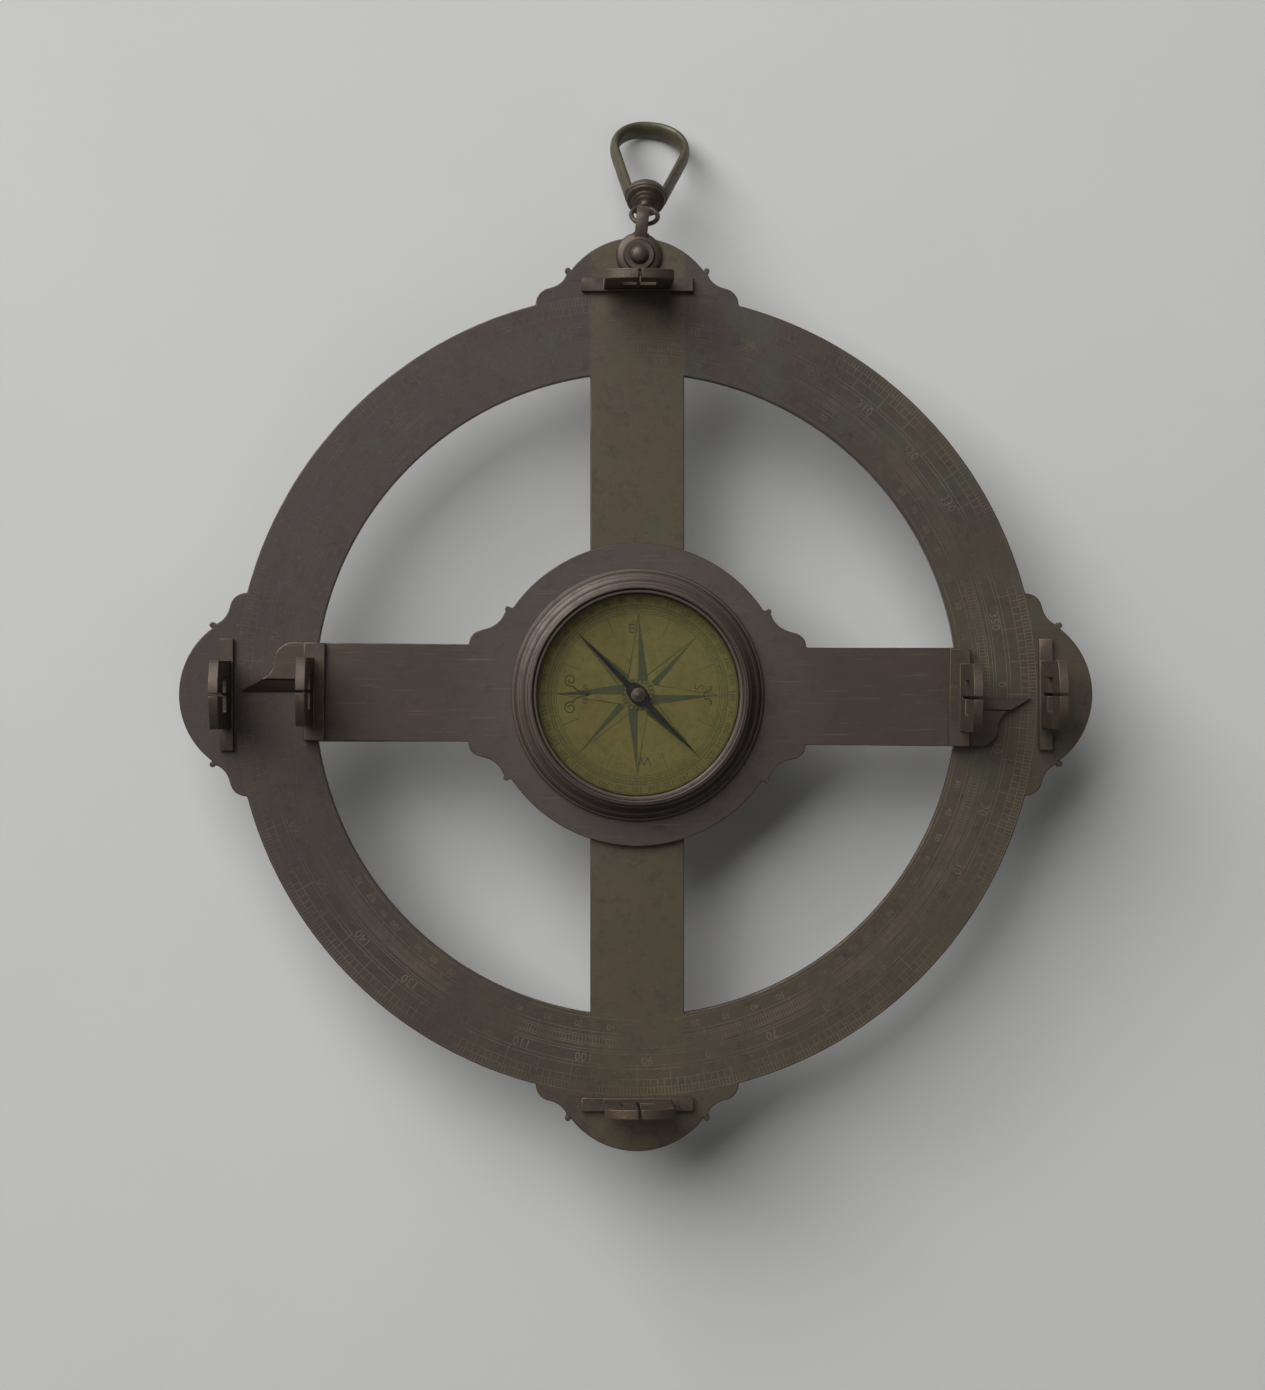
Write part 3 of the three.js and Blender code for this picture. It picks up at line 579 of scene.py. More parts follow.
def cut_ticks(name, sets, face, width):
    """Engraved radial lines from sets of (first angle, how many, inner, outer radius)."""
    deselect()
    bpy.ops.mesh.primitive_cube_add(size=MM, scale=(1, 1, 1))
    piece = named(name)
    edit_all(piece)
    bpy.ops.mesh.delete(type="VERT")
    depth = CUT_DEPTH + CUT_PROUD
    middle = face - CUT_DEPTH + depth / 2
    for first, count, inner, outer in sets:
        radius, angle = (inner + outer) / 2, math.radians(first)
        bpy.ops.mesh.select_all(action="DESELECT")
        bpy.ops.mesh.primitive_cube_add(
            size=MM, scale=(outer - inner, width, depth), rotation=(0, 0, angle),
            location=Vector((radius * math.cos(angle), radius * math.sin(angle), middle)) * MM)
        if count > 1:
            bpy.ops.mesh.spin(dupli=True, steps=count - 1, angle=math.tau * (count - 1) / count,
                              center=(0, 0, 0), axis=(0, 0, 1))
    bpy.ops.object.mode_set(mode="OBJECT")
    return piece


def cut_text(label, height, face, matrix):
    """A label cut into the face, its middle at the matrix's place."""
    deselect()
    bpy.ops.object.text_add()
    text = bpy.context.object
    text.data.body = label
    text.data.size = height * 1.37 * MM
    text.data.align_x = "CENTER"
    text.data.align_y = "CENTER"
    text.data.offset = -0.012 * height * MM
    text.data.resolution_u = 2
    text.data.extrude = (CUT_DEPTH + CUT_PROUD) / 2 * MM
    bpy.ops.object.convert(target="MESH")
    lift = Matrix.Translation((0, 0, (face - CUT_DEPTH / 2 + CUT_PROUD / 2) * MM))
    return closed(place(bpy.context.object, matrix @ lift))


def around(radius, degrees):
    """Where a numeral stands: out at a radius, its head outward."""
    return spin_z(degrees - 90) @ Matrix.Translation((0, radius * MM, 0))


degree_ticks = [(0.5, 360, 146.6, 149.3)]
degree_ticks += [(first, 72, 143.7, 149.3) for first in (1, 2, 3, 4)]
degree_ticks += [(5, 36, 139.8, 149.3), (0, 36, 138.5, 149.3)]
tangent_ticks = []
for units in range(1, 101):
    inner = 126.7 if units % 10 == 0 else 128.2 if units % 5 == 0 else 129.0
    angle = math.degrees(math.atan(units / 100))
    sides = (angle, -angle) if units < 100 else (angle,)
    tangent_ticks += [(side, 4, inner, 132.0) for side in sides]
tangent_ticks.append((0, 4, 121.5, 132.0))

scale = joined("engraved_scales", [
    cut_circles("scale_circles", DEGREE_CIRCLES + TANGENT_CIRCLES, PLATE_FACE, 0.18),
    cut_ticks("degree_lines", degree_ticks, PLATE_FACE, 0.2),
    cut_ticks("tangent_lines", tangent_ticks, PLATE_FACE, 0.18)])
dress(scale, scale_cut)
belongs(scale, "limb", "dark_brass")

labels = [cut_text(str(n), 3.4, PLATE_FACE, around(136.4, 360 - n + 1.6))
          for n in range(0, 360, 10)]
for units in range(10, 101, 10):
    angle = math.degrees(math.atan(units / 100))
    for axis in range(0, 360, 90):
        labels.append(cut_text(str(units), 2.4, PLATE_FACE, around(124.4, axis + angle - 1.2)))
        if units < 100:
            labels.append(cut_text(str(units), 2.4, PLATE_FACE, around(124.4, axis - angle + 1.2)))
numerals = dress(joined("engraved_numerals", labels), scale_cut)
belongs(numerals, "limb", "dark_brass")

# ---- sights ----


SIGHT_WIDTH = 25
VANE_THICK = 3.6
VANE_HEIGHT = 37  # from the foot's top to the crown of the arch
VANE_SHOULDER = 33
WINDOW_WIDTH = 12.7
WINDOW_SILL, WINDOW_HEAD = 12.5, 23.5
SLIT_WIDTH = 1
SLIT_SILL = 3
FOOT_HEIGHT = 2.5
SCREW_REACH = 1.8  # how far a screw's hole goes up into a foot
LIMB_FOOT = (5.1, 41.7, 152.55, 16.5)  # width, length, radius of its middle, screws' offset
RULE_FOOT = (7.8, 36.3, 119.85, 14.95)


def vane_outline():
    """Two leaves with a slit between, a window cut from both, and a low arch over them."""
    half, slit, pane_half = SIGHT_WIDTH / 2, SLIT_WIDTH / 2, WINDOW_WIDTH / 2
    rise = VANE_HEIGHT - VANE_SHOULDER
    radius = (half**2 + rise**2) / (2 * rise)
    springs = math.degrees(math.acos(half / radius))
    opens = math.degrees(math.acos(slit / radius))
    leaf = [(half, -0.5), *arc(0, VANE_HEIGHT - radius, radius, springs, opens, 10),
            (slit, WINDOW_HEAD), (pane_half, WINDOW_HEAD), (pane_half, WINDOW_SILL),
            (slit, WINDOW_SILL), (slit, SLIT_SILL)]
    return leaf + [(-x, y) for x, y in reversed(leaf)]


def sight_casting(name, foot, lean, offset):
    """A sight at the origin that looks along X, its foot's underside at height 0."""
    width, length, _, screw_across = foot
    casting = sawn(name, vane_outline(), -VANE_THICK / 2, VANE_THICK / 2)
    upright = spin_z(90) @ Matrix.Rotation(math.radians(90), 4, "X")
    place(casting, leaned(lean, offset) @ upright)
    x, y = width / 2, length / 2
    carve(casting, sawn("foot", [(-x, -y), (x, -y), (x, y), (-x, y)], 0, FOOT_HEIGHT), "UNION")
    for side in (-1, 1):
        hole = arc(0, side * screw_across, SIGHT_SCREW_HOLE, 0, 345, 23)
        carve(casting, sawn("hole", hole, -1, SCREW_REACH))
    dress(casting, sight_brown, sight_edge)
    soften(casting, 0.3, edge_slot=1)
    smooth(casting)
    return casting


def leaned(lean, offset):
    """Leans what stands on a foot outward and sets it off the foot's middle."""
    return Matrix.Translation(Vector((offset, 0, FOOT_HEIGHT)) * MM) @ Matrix.Rotation(
        math.radians(lean), 4, "Y")


def strung_hair(name, lean, offset):
    """A sighting wire on the middle of a vane, with a bead of solder at each end."""
    bottom, end = WINDOW_SILL - 4, WINDOW_HEAD + 4
    wire, bead = 0.16, 0.2
    hair = turned(name, [
        (0, bottom), (bead, bottom + 0.3), (bead, bottom + 1.2), (wire, bottom + 1.9),
        (wire, end - 1.9), (bead, end - 1.2), (bead, end - 0.3), (0, end)], 12)
    place(hair, leaned(lean, offset))
    smooth(dress(hair, needle_steel), 50)
    return hair


def set_up(prefix, side, foot, turn, lean, offset, body):
    """A sight and its hair in their place, for the CAD nodes with the same prefix and side."""
    node, hair_node = f"{prefix}sight_{side}", f"{prefix}hair_{side}"
    stand = spin_z(turn) @ Matrix.Translation(Vector((foot[2], 0, low(node))) * MM)
    casting = place(sight_casting(f"{node}_casting", foot, lean, offset), stand)
    belongs(casting, body, "brown_brass", node)
    hair = place(strung_hair(f"{hair_node}_wire", lean, offset), stand)
    belongs(hair, body, "blued_steel", hair_node)


LIMB_SIGHTS = (("right", 0, 1.3), ("upper", 90, -1), ("left", 180, 1.3), ("lower", 270, -1.8))
RULE_SIGHT_OFFSET = 2.1  # a rule's vane stands this far out on its foot
for side, turn, lean in LIMB_SIGHTS:  # each leans a little, in degrees
    set_up("", side, LIMB_FOOT, turn, lean, 0, "limb")
for side, turn in (("a", 0), ("b", 180)):
    set_up("alidade_", side, RULE_FOOT, RULE_TURN + turn, 0, RULE_SIGHT_OFFSET, "alidade")


# ---- screws ----


def screw_pattern(node, name, head_thick, shank):
    """A round-headed screw with its slot, head down, its head's crown at height 0."""
    corner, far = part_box(node)
    head = (far.x - corner.x) / 2 / MM
    length = (far.z - corner.z) / MM
    dome = [(head * math.sin(math.radians(a)), head_thick * 0.8 * (1 - math.cos(math.radians(a))))
            for a in range(0, 91, 15)]
    screw = turned(name, [*dome, (head, head_thick - 0.3), (shank, head_thick - 0.3),
                          (shank, length - 0.4), (shank - 0.4, length), (0, length)], 32)
    slot = head * 0.14
    blade = sawn("slot_blade", [(-head * 1.2, -slot), (head * 1.2, -slot), (head * 1.2, slot),
                                (-head * 1.2, slot)], -1, head_thick * 0.45)
    carve(screw, blade)
    dress(screw, small_brass)
    soften(screw, 0.08, 40)
    smooth(screw, 30)
    return screw


def drive_in(pattern, nodes, body, turn_step=37):
    """Copies of a screw at its CAD nodes' places, each slot left at its own angle."""
    for i, node in enumerate(nodes):
        x, y = centre_of(node)
        screw = copied(pattern, f"{node}_slotted")
        place(screw, Matrix.Translation(Vector((x, y, low(node))) * MM) @ spin_z(turn_step * i))
        belongs(screw, body, "old_brass", node)
    bpy.data.objects.remove(pattern)


drive_in(screw_pattern("sight_screw_1", "small_screw", 1.4, 1.1), sight_screws, "limb")
drive_in(screw_pattern("boss_screw_1", "boss_screw", 2, 1.6), boss_screws, "limb", 53)
drive_in(screw_pattern("alidade_screw_1", "sunk_screw", 1.4, 1.1),
         [f"alidade_screw_{i}" for i in range(1, 5)], "alidade", 61)
drive_in(screw_pattern("compass_screw_1", "box_screw", 1.4, 1.1),
         [f"compass_screw_{i}" for i in range(1, 4)], "alidade", 23)

# ---- the back boss ----

flange_top = top("back_boss")
flange_back = flange_top - 3.4
cavity_floor = 27
boss = turned("back_boss_turning", [
    (0, 0), *arc(24.6, 1.4, 1.4, -90, 0, 5), (26, 5.2), *arc(26, 6.6, 1.4, 270, 180, 6)[1:],
    *sweep((24.6, 6.6), (19.6, 9.5), (19.6, 17), 12),
    *sweep((19.6, 17), (20.2, 31), (26.8, flange_back), 14),
    *arc(34.9, flange_back + 1.1, 1.1, -90, 0, 4), (36, flange_top), (18, flange_top),
    (18, cavity_floor), (0, cavity_floor)], 96)
for node in boss_screws:
    carve(boss, bore(*centre_of(node), BOSS_SCREW_HOLE, 16))
dress(boss, box_brown, plate_edge)
soften(boss, 0.2, 40, edge_slot=1)
smooth(boss, 28)
belongs(boss, "limb", "old_brass", "back_boss")

# ---- the alidade ----


def ear():
    """Between an arm's edge and the disc: a hollow, a round and a knob."""
    points = [(62.8, RULE_HALF_WIDTH)]
    points += sweep(points[-1], (62.6, 22.7), (57.6, 23.7))
    points += sweep(points[-1], (51.4, 25), (49.5, 30.2))
    return points + arc(48.5, 31.3, KNOB_RADIUS, -51.6, 150, 12)


def index_end():
    """From an arm's edge to the index point, on the -Y side of the fiducial line."""
    points = [(129.2, -RULE_HALF_WIDTH)]
    points += sweep(points[-1], (134.4, -16.2), (134.7, -12.4))
    points += sweep(points[-1], (134.8, -6.4), (139.2, -4.6))
    return [*points, (RULE_TIP, 0)]


def rule_outline():
    ear_points = ear()
    last = math.degrees(math.atan2(ear_points[-1][1], ear_points[-1][0])) + 0.6
    half = [*index_end(), (RULE_SHORT_END, 0), (RULE_SHORT_END, RULE_HALF_WIDTH), *ear_points]
    half += arc(0, 0, RULE_DISC_RADIUS, last, 180 - last, 64)
    half += [(-x, y) for x, y in reversed(ear_points)]
    return half + [(-x, -y) for x, y in half]


rule = sawn("alidade_rule", rule_outline(), RULE_BACK, RULE_FACE)
for turn in (0, 180):
    fall = BEVEL_DROP * (1 + 0.5 / BEVEL_WIDTH)
    wedge = sawn("wedge", [(-BEVEL_WIDTH, 0), (0.5, -fall), (0.5, 1), (-BEVEL_WIDTH, 1)],
                 BEVEL_START, RULE_TIP + 2)
    stand = Matrix(((0, 0, 1, 0), (1, 0, 0, 0), (0, 1, 0, RULE_FACE * MM), (0, 0, 0, 1)))
    carve(rule, place(wedge, spin_z(turn) @ stand))
carve(rule, bore(0, 0, STUD_BORE, 48))
place(rule, spin_z(RULE_TURN))
dress(rule, rule_brown, plate_edge)
soften(rule, 0.3, edge_slot=1)
smooth(rule)
belongs(rule, "alidade", "dark_brass", "alidade_plate")

# ---- the compass box ----

GLASS_SEAT = low("compass_glass") - 0.3
BOX_FLOOR = low("compass_dial") - 0.3


def box_profile():
    base = BOX_BASE
    outer = [(16, base), (47, base), *arc(46.4, base + 1.2, 0.6, 0, 90, 5), (45.9, base + 1.8)]
    outer += [(45.9, base + 2.2)]
    outer += sweep(outer[-1], (45.6, base + 4.6), (44.2, base + 4.8))
    outer += [(43.9, base + 4.8), (43.9, base + 5.3), (43.3, base + 5.5)]
    outer += sweep((43.3, base + 5.5), (41.3, base + 6.4), (41.2, base + 10.2), 10)
    outer += [(41.5, base + 10.5), *arc(41.2, base + 11.6, 0.7, -55, 80, 7), (40.8, base + 12.5)]
    outer += [(40.8, base + 12.8), *arc(40.3, base + 13.3, 0.5, -20, 90, 5), (39.8, base + 13.8)]
    outer += [(39.8, BOX_TOP), (39.3, BOX_TOP), (38.9, BOX_TOP - 0.4)]
    inner = [(38.7, BOX_TOP - 0.9), (38.7, GLASS_SEAT), (37.6, GLASS_SEAT), (37.6, BOX_FLOOR),
             (0, BOX_FLOOR)]
    ceiling = base + 2.5
    return outer + inner + [(0, ceiling), (16, ceiling)]


box = turned("compass_box_turning", box_profile(), 144)
dress(box, box_brown, plate_edge)
soften(box, 0.14, 40, edge_slot=1)
smooth(box, 26)
belongs(box, "alidade", "old_brass", "compass_box")

bezel_low, bezel_top = low("bezel_ring"), top("bezel_ring")
bezel = turned("bezel_turning", [(37.4, bezel_low), (38.4, bezel_low), (38.4, bezel_top),
                                 *arc(37.9, bezel_top - 0.5, 0.5, 90, 180, 4)], 144)
slit = sawn("slit", [(0, -0.2), (50, -0.2), (50, 0.2), (0, 0.2)], bezel_low - 1, bezel_top + 1)
carve(bezel, slit)
place(bezel, spin_z(228))
dress(bezel, box_brown)
smooth(bezel, 30)
belongs(bezel, "alidade", "old_brass", "bezel_ring")

glass_low, glass_top = low("compass_glass"), top("compass_glass")
pane = turned("compass_pane", [(0, glass_low), (38.1, glass_low), (38.4, glass_low + 0.3),
                               (38.4, glass_top - 0.3), (38.1, glass_top), (0, glass_top)], 128)
dress(pane, window_glass)
smooth(pane)
belongs(pane, "alidade", "window_glass", "compass_glass")

dial_low = low("compass_dial")
dial = turned("dial_plate", [
    (1.5, dial_low), (DIAL_RADIUS - 0.1, dial_low), (DIAL_RADIUS, dial_low + 0.1),
    (DIAL_RADIUS, DIAL_FACE - 0.15), (DIAL_RADIUS - 0.15, DIAL_FACE), (1.5, DIAL_FACE)], 128)
dress(dial, dial_olive)
smooth(dial)
belongs(dial, "alidade", "dial_brass", "compass_dial")

# ---- the dial's engraving ----

ROSE_TIP = 29.8
ROSE_FIELD = 30.2


def flat_cut(outline, degrees):
    """A filled area of engraving, turned to its place."""
    return sawn("area_cut", spun(outline, degrees), DIAL_FACE - CUT_DEPTH, DIAL_FACE + CUT_PROUD)


def scribed(points, width, degrees):
    """A line cut along points, from a bent wire sunk to its middle in the face."""
    deselect()
    bpy.ops.curve.primitive_bezier_curve_add()
    curve = bpy.context.object.data
    curve.splines.clear()
    spline = curve.splines.new("POLY")
    spline.points.add(len(points) - 1)
    for spot, (x, y) in zip(spline.points, spun(points, degrees)):
        spot.co = (x * MM, y * MM, DIAL_FACE * MM, 1)
    curve.dimensions = "3D"
    curve.bevel_depth = width / 2 * MM
    curve.bevel_resolution = 1
    curve.use_fill_caps = True
    bpy.ops.object.convert(target="MESH")
    flatten = Matrix.Translation((0, 0, DIAL_FACE * MM)) @ Matrix.Diagonal((1, 1, 0.25, 1))
    return closed(place(bpy.context.object, flatten @ Matrix.Translation((0, 0, -DIAL_FACE * MM))))


def curl(x, y, radius, start, turns, steps=22):
    """A volute that closes in from its outer end."""
    points = []
    for i in range(steps + 1):
        t = i / steps
        angle = math.radians(start + 360 * turns * t)
        reach = radius * (1 - 0.72 * t)
        points.append((x + reach * math.cos(angle), y + reach * math.sin(angle)))
    return points


rose = []
for eighth in range(8):
    turn = 45 * eighth
    if eighth % 2 == 0:
        rose.append(flat_cut([(ROSE_TIP, 0), (5.2, 0), (5.2, -3.8)], turn))
    else:
        rose.append(flat_cut([(ROSE_TIP - 0.3, 0), (6.6, 0), (7.4, -2.7)], turn))
rose = joined("rose_dark_halves", rose)
place(rose, spin_z(RULE_TURN))
dress(rose, rose_cut)
belongs(rose, "alidade", "dial_brass")

fine = []
for eighth in range(8):
    turn = 45 * eighth
    corner = (5.2, 3.8) if eighth % 2 == 0 else (7.4, 2.7)
    fine.append(scribed([(ROSE_TIP, 0), corner], 0.22, turn))
    fine.append(scribed([(23.5, 0), (ROSE_FIELD, 0)], 0.16, turn + 22.5))
for side in (1, -1):
    fine.append(scribed(curl(25, 5.2 * side, 2.4, -110 * side, 1.35 * side), 0.4, 180))
    fine.append(scribed([(18.2, 0.4 * side), (21.5, 0.9 * side), (23.6, 2.2 * side),
                         (24.2, 3.0 * side)], 0.45, 180))
    fine.append(scribed(curl(19.4, 2.9 * side, 1.0, 200 * side, 1.1 * side), 0.3, 180))
    fine.append(scribed(curl(26.2, 2.6 * side, 1.7, -150 * side, 0.75 * side), 0.32, 0))
    fine.append(scribed([(24.2, 0), (25, 1.5 * side), (26.8, 2.1 * side), (27.4, 3.6 * side)],
                        0.35, 0))
fine.append(scribed([(17.5, 0), (ROSE_TIP, 0)], 0.4, 180))
fine.append(scribed(arc(0, 0, 5.9, 0, 360, 40), 0.25, 0))
fine.append(scribed(arc(0, 0, 4.6, 0, 360, 36), 0.25, 0))
fine.append(cut_circles("dial_circles", (30.2, 31.0, 32.0, 33.3, 36.7), DIAL_FACE, 0.16, 144))
fine.append(cut_ticks("dial_degrees", [(first, 72, 32.0, 33.3) for first in (1, 2, 3, 4)]
                      + [(0, 72, 31.0, 33.3)], DIAL_FACE, 0.13))
fine += [cut_text(str(n), 2.1, DIAL_FACE, around(35, 180 - n)) for n in range(0, 360, 10)]
for label, turn in (("E", 90), ("W", 270)):
    lettering = around(24.3, turn) @ Matrix.Translation((-2.6 * MM, 0, 0))
    fine.append(cut_text(label, 3.6, DIAL_FACE, lettering))
south = around(22.4, 0) @ Matrix.Translation((-3.0 * MM, 0, 0))
fine.append(cut_text("S", 3.6, DIAL_FACE, south))
dial_lines = joined("dial_engraving", fine)
place(dial_lines, spin_z(RULE_TURN))
dress(dial_lines, dial_cut)
belongs(dial_lines, "alidade", "dial_brass")

deselect()
bpy.ops.mesh.primitive_cylinder_add(vertices=10, radius=0.42 * MM, depth=0.1 * MM,
                                    location=(5.25 * MM, 0, DIAL_FACE * MM))
beads = named("rose_beading")
edit_all(beads)
bpy.ops.mesh.spin(dupli=True, steps=19, angle=math.tau * 19 / 20, center=(0, 0, 0), axis=(0, 0, 1))
bpy.ops.object.mode_set(mode="OBJECT")
place(beads, Matrix.Identity(4))
dress(beads, dial_cut)
soften(beads, 0.03)
belongs(beads, "alidade", "dial_brass")

# ---- the needle ----

blade_low, blade_top = low("needle_blade"), top("needle_blade")


def needle_outline():
    half = [(33, 0), (5, 1.1), *sweep((5, 1.1), (3.4, 3.4), (0, 3.4)),
            *sweep((0, 3.4), (-3.4, 3.4), (-5, 1.1))]
    return half + [(-x, -y) for x, y in half]


blade = sawn("needle_blade_filed", needle_outline(), blade_low, blade_top)
carve(blade, bore(0, 0, 1.7))
place(blade, spin_z(NEEDLE_TURN))
dress(blade, needle_steel)
soften(blade, 0.12)
smooth(blade)
belongs(blade, "needle", "blued_steel", "needle_blade")

cap_low, cap_top = low("needle_cap"), top("needle_cap")
cap = turned("needle_cap_turning", [
    (0, cap_low + 1), (0.9, cap_low), (2.5, cap_low), (2.6, cap_low + 0.1), (2.6, cap_low + 0.6),
    *sweep((2.6, cap_low + 0.6), (1.4, cap_low + 0.9), (1.3, cap_top - 0.7)),
    *arc(0, cap_top - 1.1, 1.1, 25, 90, 6)], 32)
dress(cap, filed_brown)
smooth(cap, 30)
belongs(cap, "needle", "old_brass", "needle_cap")

# ---- the suspension ----

to_rivet = Matrix.Translation(RIVET_PLACE)
to_shackle = to_rivet @ spin_z(SHACKLE_TURN)
to_bow = to_shackle @ Matrix.Translation((0, BOW_CENTRE * MM, 0))
to_eye = (to_bow @ Matrix.Translation((EYE_SIDE * MM, 0, 0))
          @ Matrix.Rotation(math.radians(LOOP_LEAN), 4, "X")
          @ Matrix.Translation((0, EYE_OFFSET * MM, 0)))
along_stem = to_eye @ Matrix.Rotation(math.radians(-90), 4, "X")

seat = 6.3  # from the plate's middle to the rivet's heads
rivet = turned("rivet_domed", [
    (0, -seat - 1.6), (2.2, -seat - 1.3), (3, -seat - 0.5), (3.2, -seat), (1.9, -seat), (1.9, seat),
    (3.45, seat), *sweep((3.45, seat), (3.4, seat + 1.6), (2.1, seat + 2.2)),
    *sweep((2.1, seat + 2.2), (1, seat + 2.6), (0, seat + 2.6), 5)], 48)
place(rivet, to_rivet)
dress(rivet, filed_brown)
smooth(rivet, 30)
belongs(rivet, "limb", "dark_brass", "suspension_rivet")

inner, crest = 2.55, 6.0
front = turned("front_cheek", [
    (2.2, inner), (8.3, inner), (CHEEK_RADIUS, inner + 0.2), (CHEEK_RADIUS, inner + 1.2),
    *sweep((CHEEK_RADIUS, inner + 1.2), (8.2, inner + 2), (6.4, inner + 2.4)), (5.75, inner + 2.5),
    (5.65, crest - 0.2), (5.4, crest), (2.2, crest)], 64)
rear = turned("rear_cheek", [
    (2.2, -crest), (6, -crest), (CHEEK_RADIUS, -inner - 1.2), (CHEEK_RADIUS, -inner - 0.2),
    (8.3, -inner), (2.2, -inner)], 64)
strap_outline = [(5.4, 3), (5.4, 4.3), (9, 5.9), *arc(BOW_CENTRE, 0, 5.9, 90, -90, 24), (9, -5.9),
                 (5.4, -4.3), (5.4, -3), *arc(BOW_CENTRE, 0, 3.3, -90, 90, 20)]
strap = sawn("strap", strap_outline, -2.3, 2.3)
place(strap, Matrix(((0, 0, 1, 0), (1, 0, 0, 0), (0, 1, 0, 0), (0, 0, 0, 1))))
carve(front, rear, "UNION")
carve(front, strap, "UNION")
pick(front)
shackle = place(named("shackle_filed"), to_shackle)
dress(shackle, filed_brown, plate_edge)
soften(shackle, 0.35, 40, edge_slot=1)
smooth(shackle, 30)
belongs(shackle, "shackle_link", "dark_brass", "shackle")

deselect()
bpy.ops.mesh.primitive_torus_add(major_radius=4.95 * MM, minor_radius=0.9 * MM, major_segments=56,
                                 minor_segments=16)
eye = named("eye_and_collar")
collar = turned("collar", [
    (0, 4.5), (1.9, 4.5), *sweep((1.9, 4.5), (2, 6), (3.8, 6.5)), (4, 6.7), (4, 7.1), (5, 7.4),
    (5.2, 7.6), (5.2, 8), (6.2, 8.3), *sweep((6.2, 8.3), (7.2, 8.5), (7.3, 9.1)), (7.3, 9.7),
    (STEM_RADIUS, 9.7), (STEM_RADIUS, 14.7), (3.2, 14.7),
    *sweep((3.2, 14.7), (3, 15.8), (0, 16.1))], 64)
place(collar, Matrix.Rotation(math.radians(-90), 4, "X"))
carve(eye, collar, "UNION")
place(eye, to_eye)
dress(eye, filed_brown, plate_edge)
soften(eye, 0.15, 50, edge_slot=1)
smooth(eye, 35)
belongs(eye, "swivel", "dark_brass", "swivel_eye")

washer = turned("stem_washer", [(2.5, 13.1), (4.3, 13.1), (4.4, 13.2), (4.4, 14), (4.3, 14.1),
                                (2.5, 14.1)], 48)
place(washer, along_stem)
dress(washer, small_brass)
smooth(washer)
belongs(washer, "swivel", "old_brass", "swivel_washer")

deselect()
bpy.ops.curve.primitive_bezier_circle_add(radius=1)
section = bpy.context.object
section.scale = (1.8 * MM, 3.8 * MM, 1)  # thin in the loop's plane, broad across it
section.data.resolution_u = 6
pick(section)
bpy.ops.object.transform_apply(location=False, rotation=False, scale=True)
deselect()
bpy.ops.curve.primitive_bezier_curve_add()
bar = bpy.context.object
path = bar.data.splines[0]
path.bezier_points.add(3)
stations = (  # place, handle before, handle after
    ((-6.2, 11.4), (-4, 3.3), (-8.4, 19.6)), ((-12.9, 36), (-10.7, 27.8), (-15.2, 44.5)),
    ((0, LOOP_CROWN), (-10.5, LOOP_CROWN), (10.5, LOOP_CROWN)),
    ((12.9, 36), (15.2, 44.5), (10.7, 27.8)), ((6.2, 11.4), (8.4, 19.6), (4, 3.3)))
for point, (spot, before, after) in zip(path.bezier_points, stations):
    point.handle_left_type = point.handle_right_type = "FREE"
    point.co = Vector((*spot, 0)) * MM
    point.handle_left = Vector((*before, 0)) * MM
    point.handle_right = Vector((*after, 0)) * MM
bar.data.dimensions = "3D"
bar.data.twist_mode = "Z_UP"
bar.data.bevel_mode = "OBJECT"
bar.data.bevel_object = section
bar.data.resolution_u = 20
bar.data.use_fill_caps = True
pick(bar)
bpy.ops.object.convert(target="MESH")
bar = closed(named("hand_loop_forged"))
bpy.data.objects.remove(section)
boss_start, boss_end = LOOP_BOSS
boss_rim = LOOP_BOSS_RADIUS - 0.6
ring_boss = turned("loop_boss", [
    (2.5, boss_start), (boss_rim, boss_start), *arc(boss_rim, boss_start + 0.6, 0.6, -90, 0, 4)[1:],
    *arc(boss_rim, boss_end - 0.6, 0.6, 0, 90, 4), (2.5, boss_end)], 64)
place(ring_boss, Matrix.Rotation(math.radians(-90), 4, "X"))
carve(bar, ring_boss, "UNION")
place(bar, to_eye)
dress(bar, loop_green)
smooth(bar, 40)
belongs(bar, "loop", "verdigris_brass", "hand_loop")

# ---- CAD nodes that stay ----

for node, material in (("pivot_stud", needle_steel), ("pivot_washer", small_brass),
                       ("pivot_nut", small_brass), ("needle_pin", needle_steel)):
    dress(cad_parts[node], material)

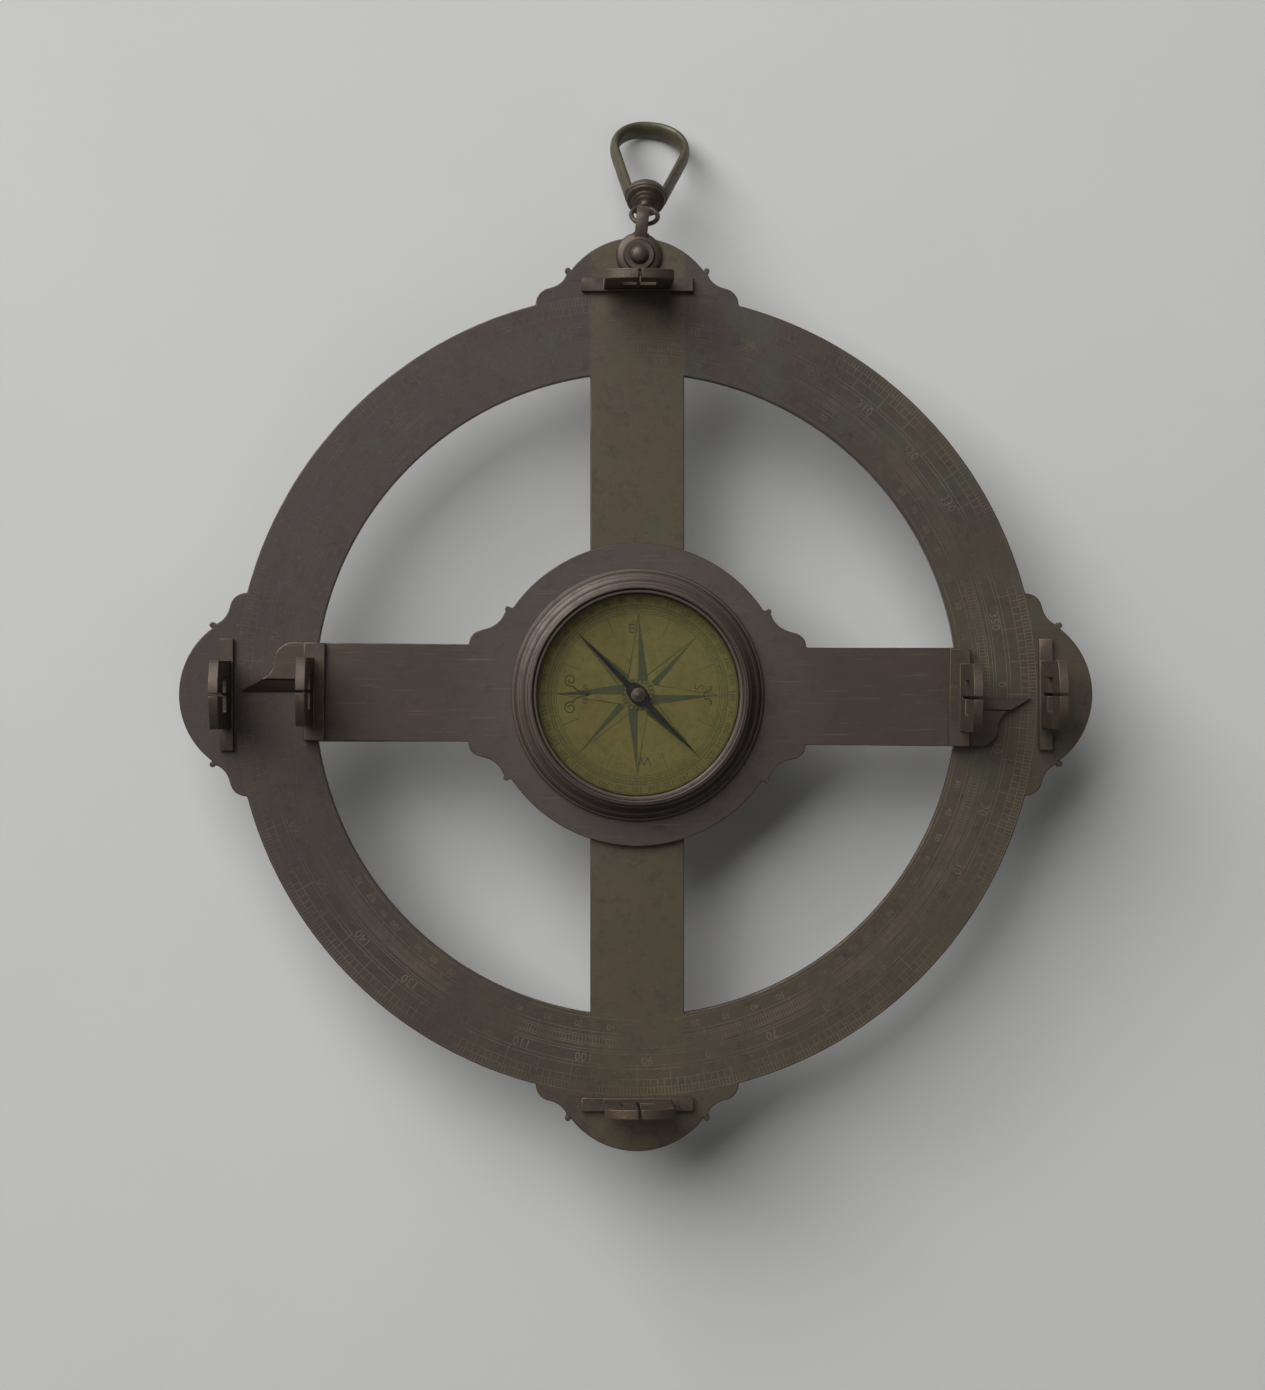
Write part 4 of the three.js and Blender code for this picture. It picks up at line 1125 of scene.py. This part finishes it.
# ---- floor, light and camera ----

deselect()
bpy.ops.mesh.primitive_plane_add(size=6, location=(0, 0, 0))
floor = named("floor")
paper = new_material("matt_grey_paper")
where = add_node(paper, "ShaderNodeTexCoord").outputs["Object"]
tint, _ = stain(paper, where, srgb("#d0d0cf"), "#d4d4d3", 400, 0.3, 0.7)
sheet = add_node(paper, "ShaderNodeBsdfPrincipled", {"Base Color": tint, "Roughness": 0.9})
add_node(paper, "ShaderNodeOutputMaterial", {"Surface": sheet.outputs[0]})
dress(floor, paper)


def softbox(name, place_m, size, watts):
    """A square soft white lamp that faces the middle of the circle, sizes in metres."""
    bpy.ops.object.light_add(type="AREA", location=place_m)
    lamp = bpy.context.object
    lamp.name = name
    lamp.data.shape = "SQUARE"
    lamp.data.size = size
    lamp.data.energy = watts
    lamp.rotation_mode = "QUATERNION"
    lamp.rotation_quaternion = Vector(place_m).to_track_quat("Z", "Y")


softbox("key_softbox", (-1.77, 2.19, 3.0), 3.7, 184)
softbox("low_softbox", (-3.0, 3.2, 1.9), 2.6, 48)
softbox("high_fill_softbox", (0.75, -0.75, 2.6), 1.3, 4)
world = bpy.data.worlds.new("studio")
bpy.context.scene.world = world
world.use_nodes = True
world.node_tree.nodes["Background"].inputs["Color"].default_value = srgb("#f4f6f8")
world.node_tree.nodes["Background"].inputs["Strength"].default_value = 0.02
bpy.context.scene.view_settings.view_transform = "Standard"

CAMERA_PLACE = Vector((-30.1, 3.2, PLATE_FACE + 1150)) * MM
CAMERA_AIM = Vector((-1.79, -0.15, PLATE_FACE)) * MM
bpy.ops.object.camera_add(location=CAMERA_PLACE)
camera = bpy.context.object
camera.name = "camera"
forward = (CAMERA_AIM - CAMERA_PLACE).normalized()
across = forward.cross(Vector((0, 1, 0))).normalized()
upward = across.cross(forward)
camera.rotation_mode = "QUATERNION"
camera.rotation_quaternion = Matrix((across, upward, -forward)).transposed().to_quaternion()
camera.data.sensor_width = 36
camera.data.lens = 79.9
bpy.context.scene.camera = camera
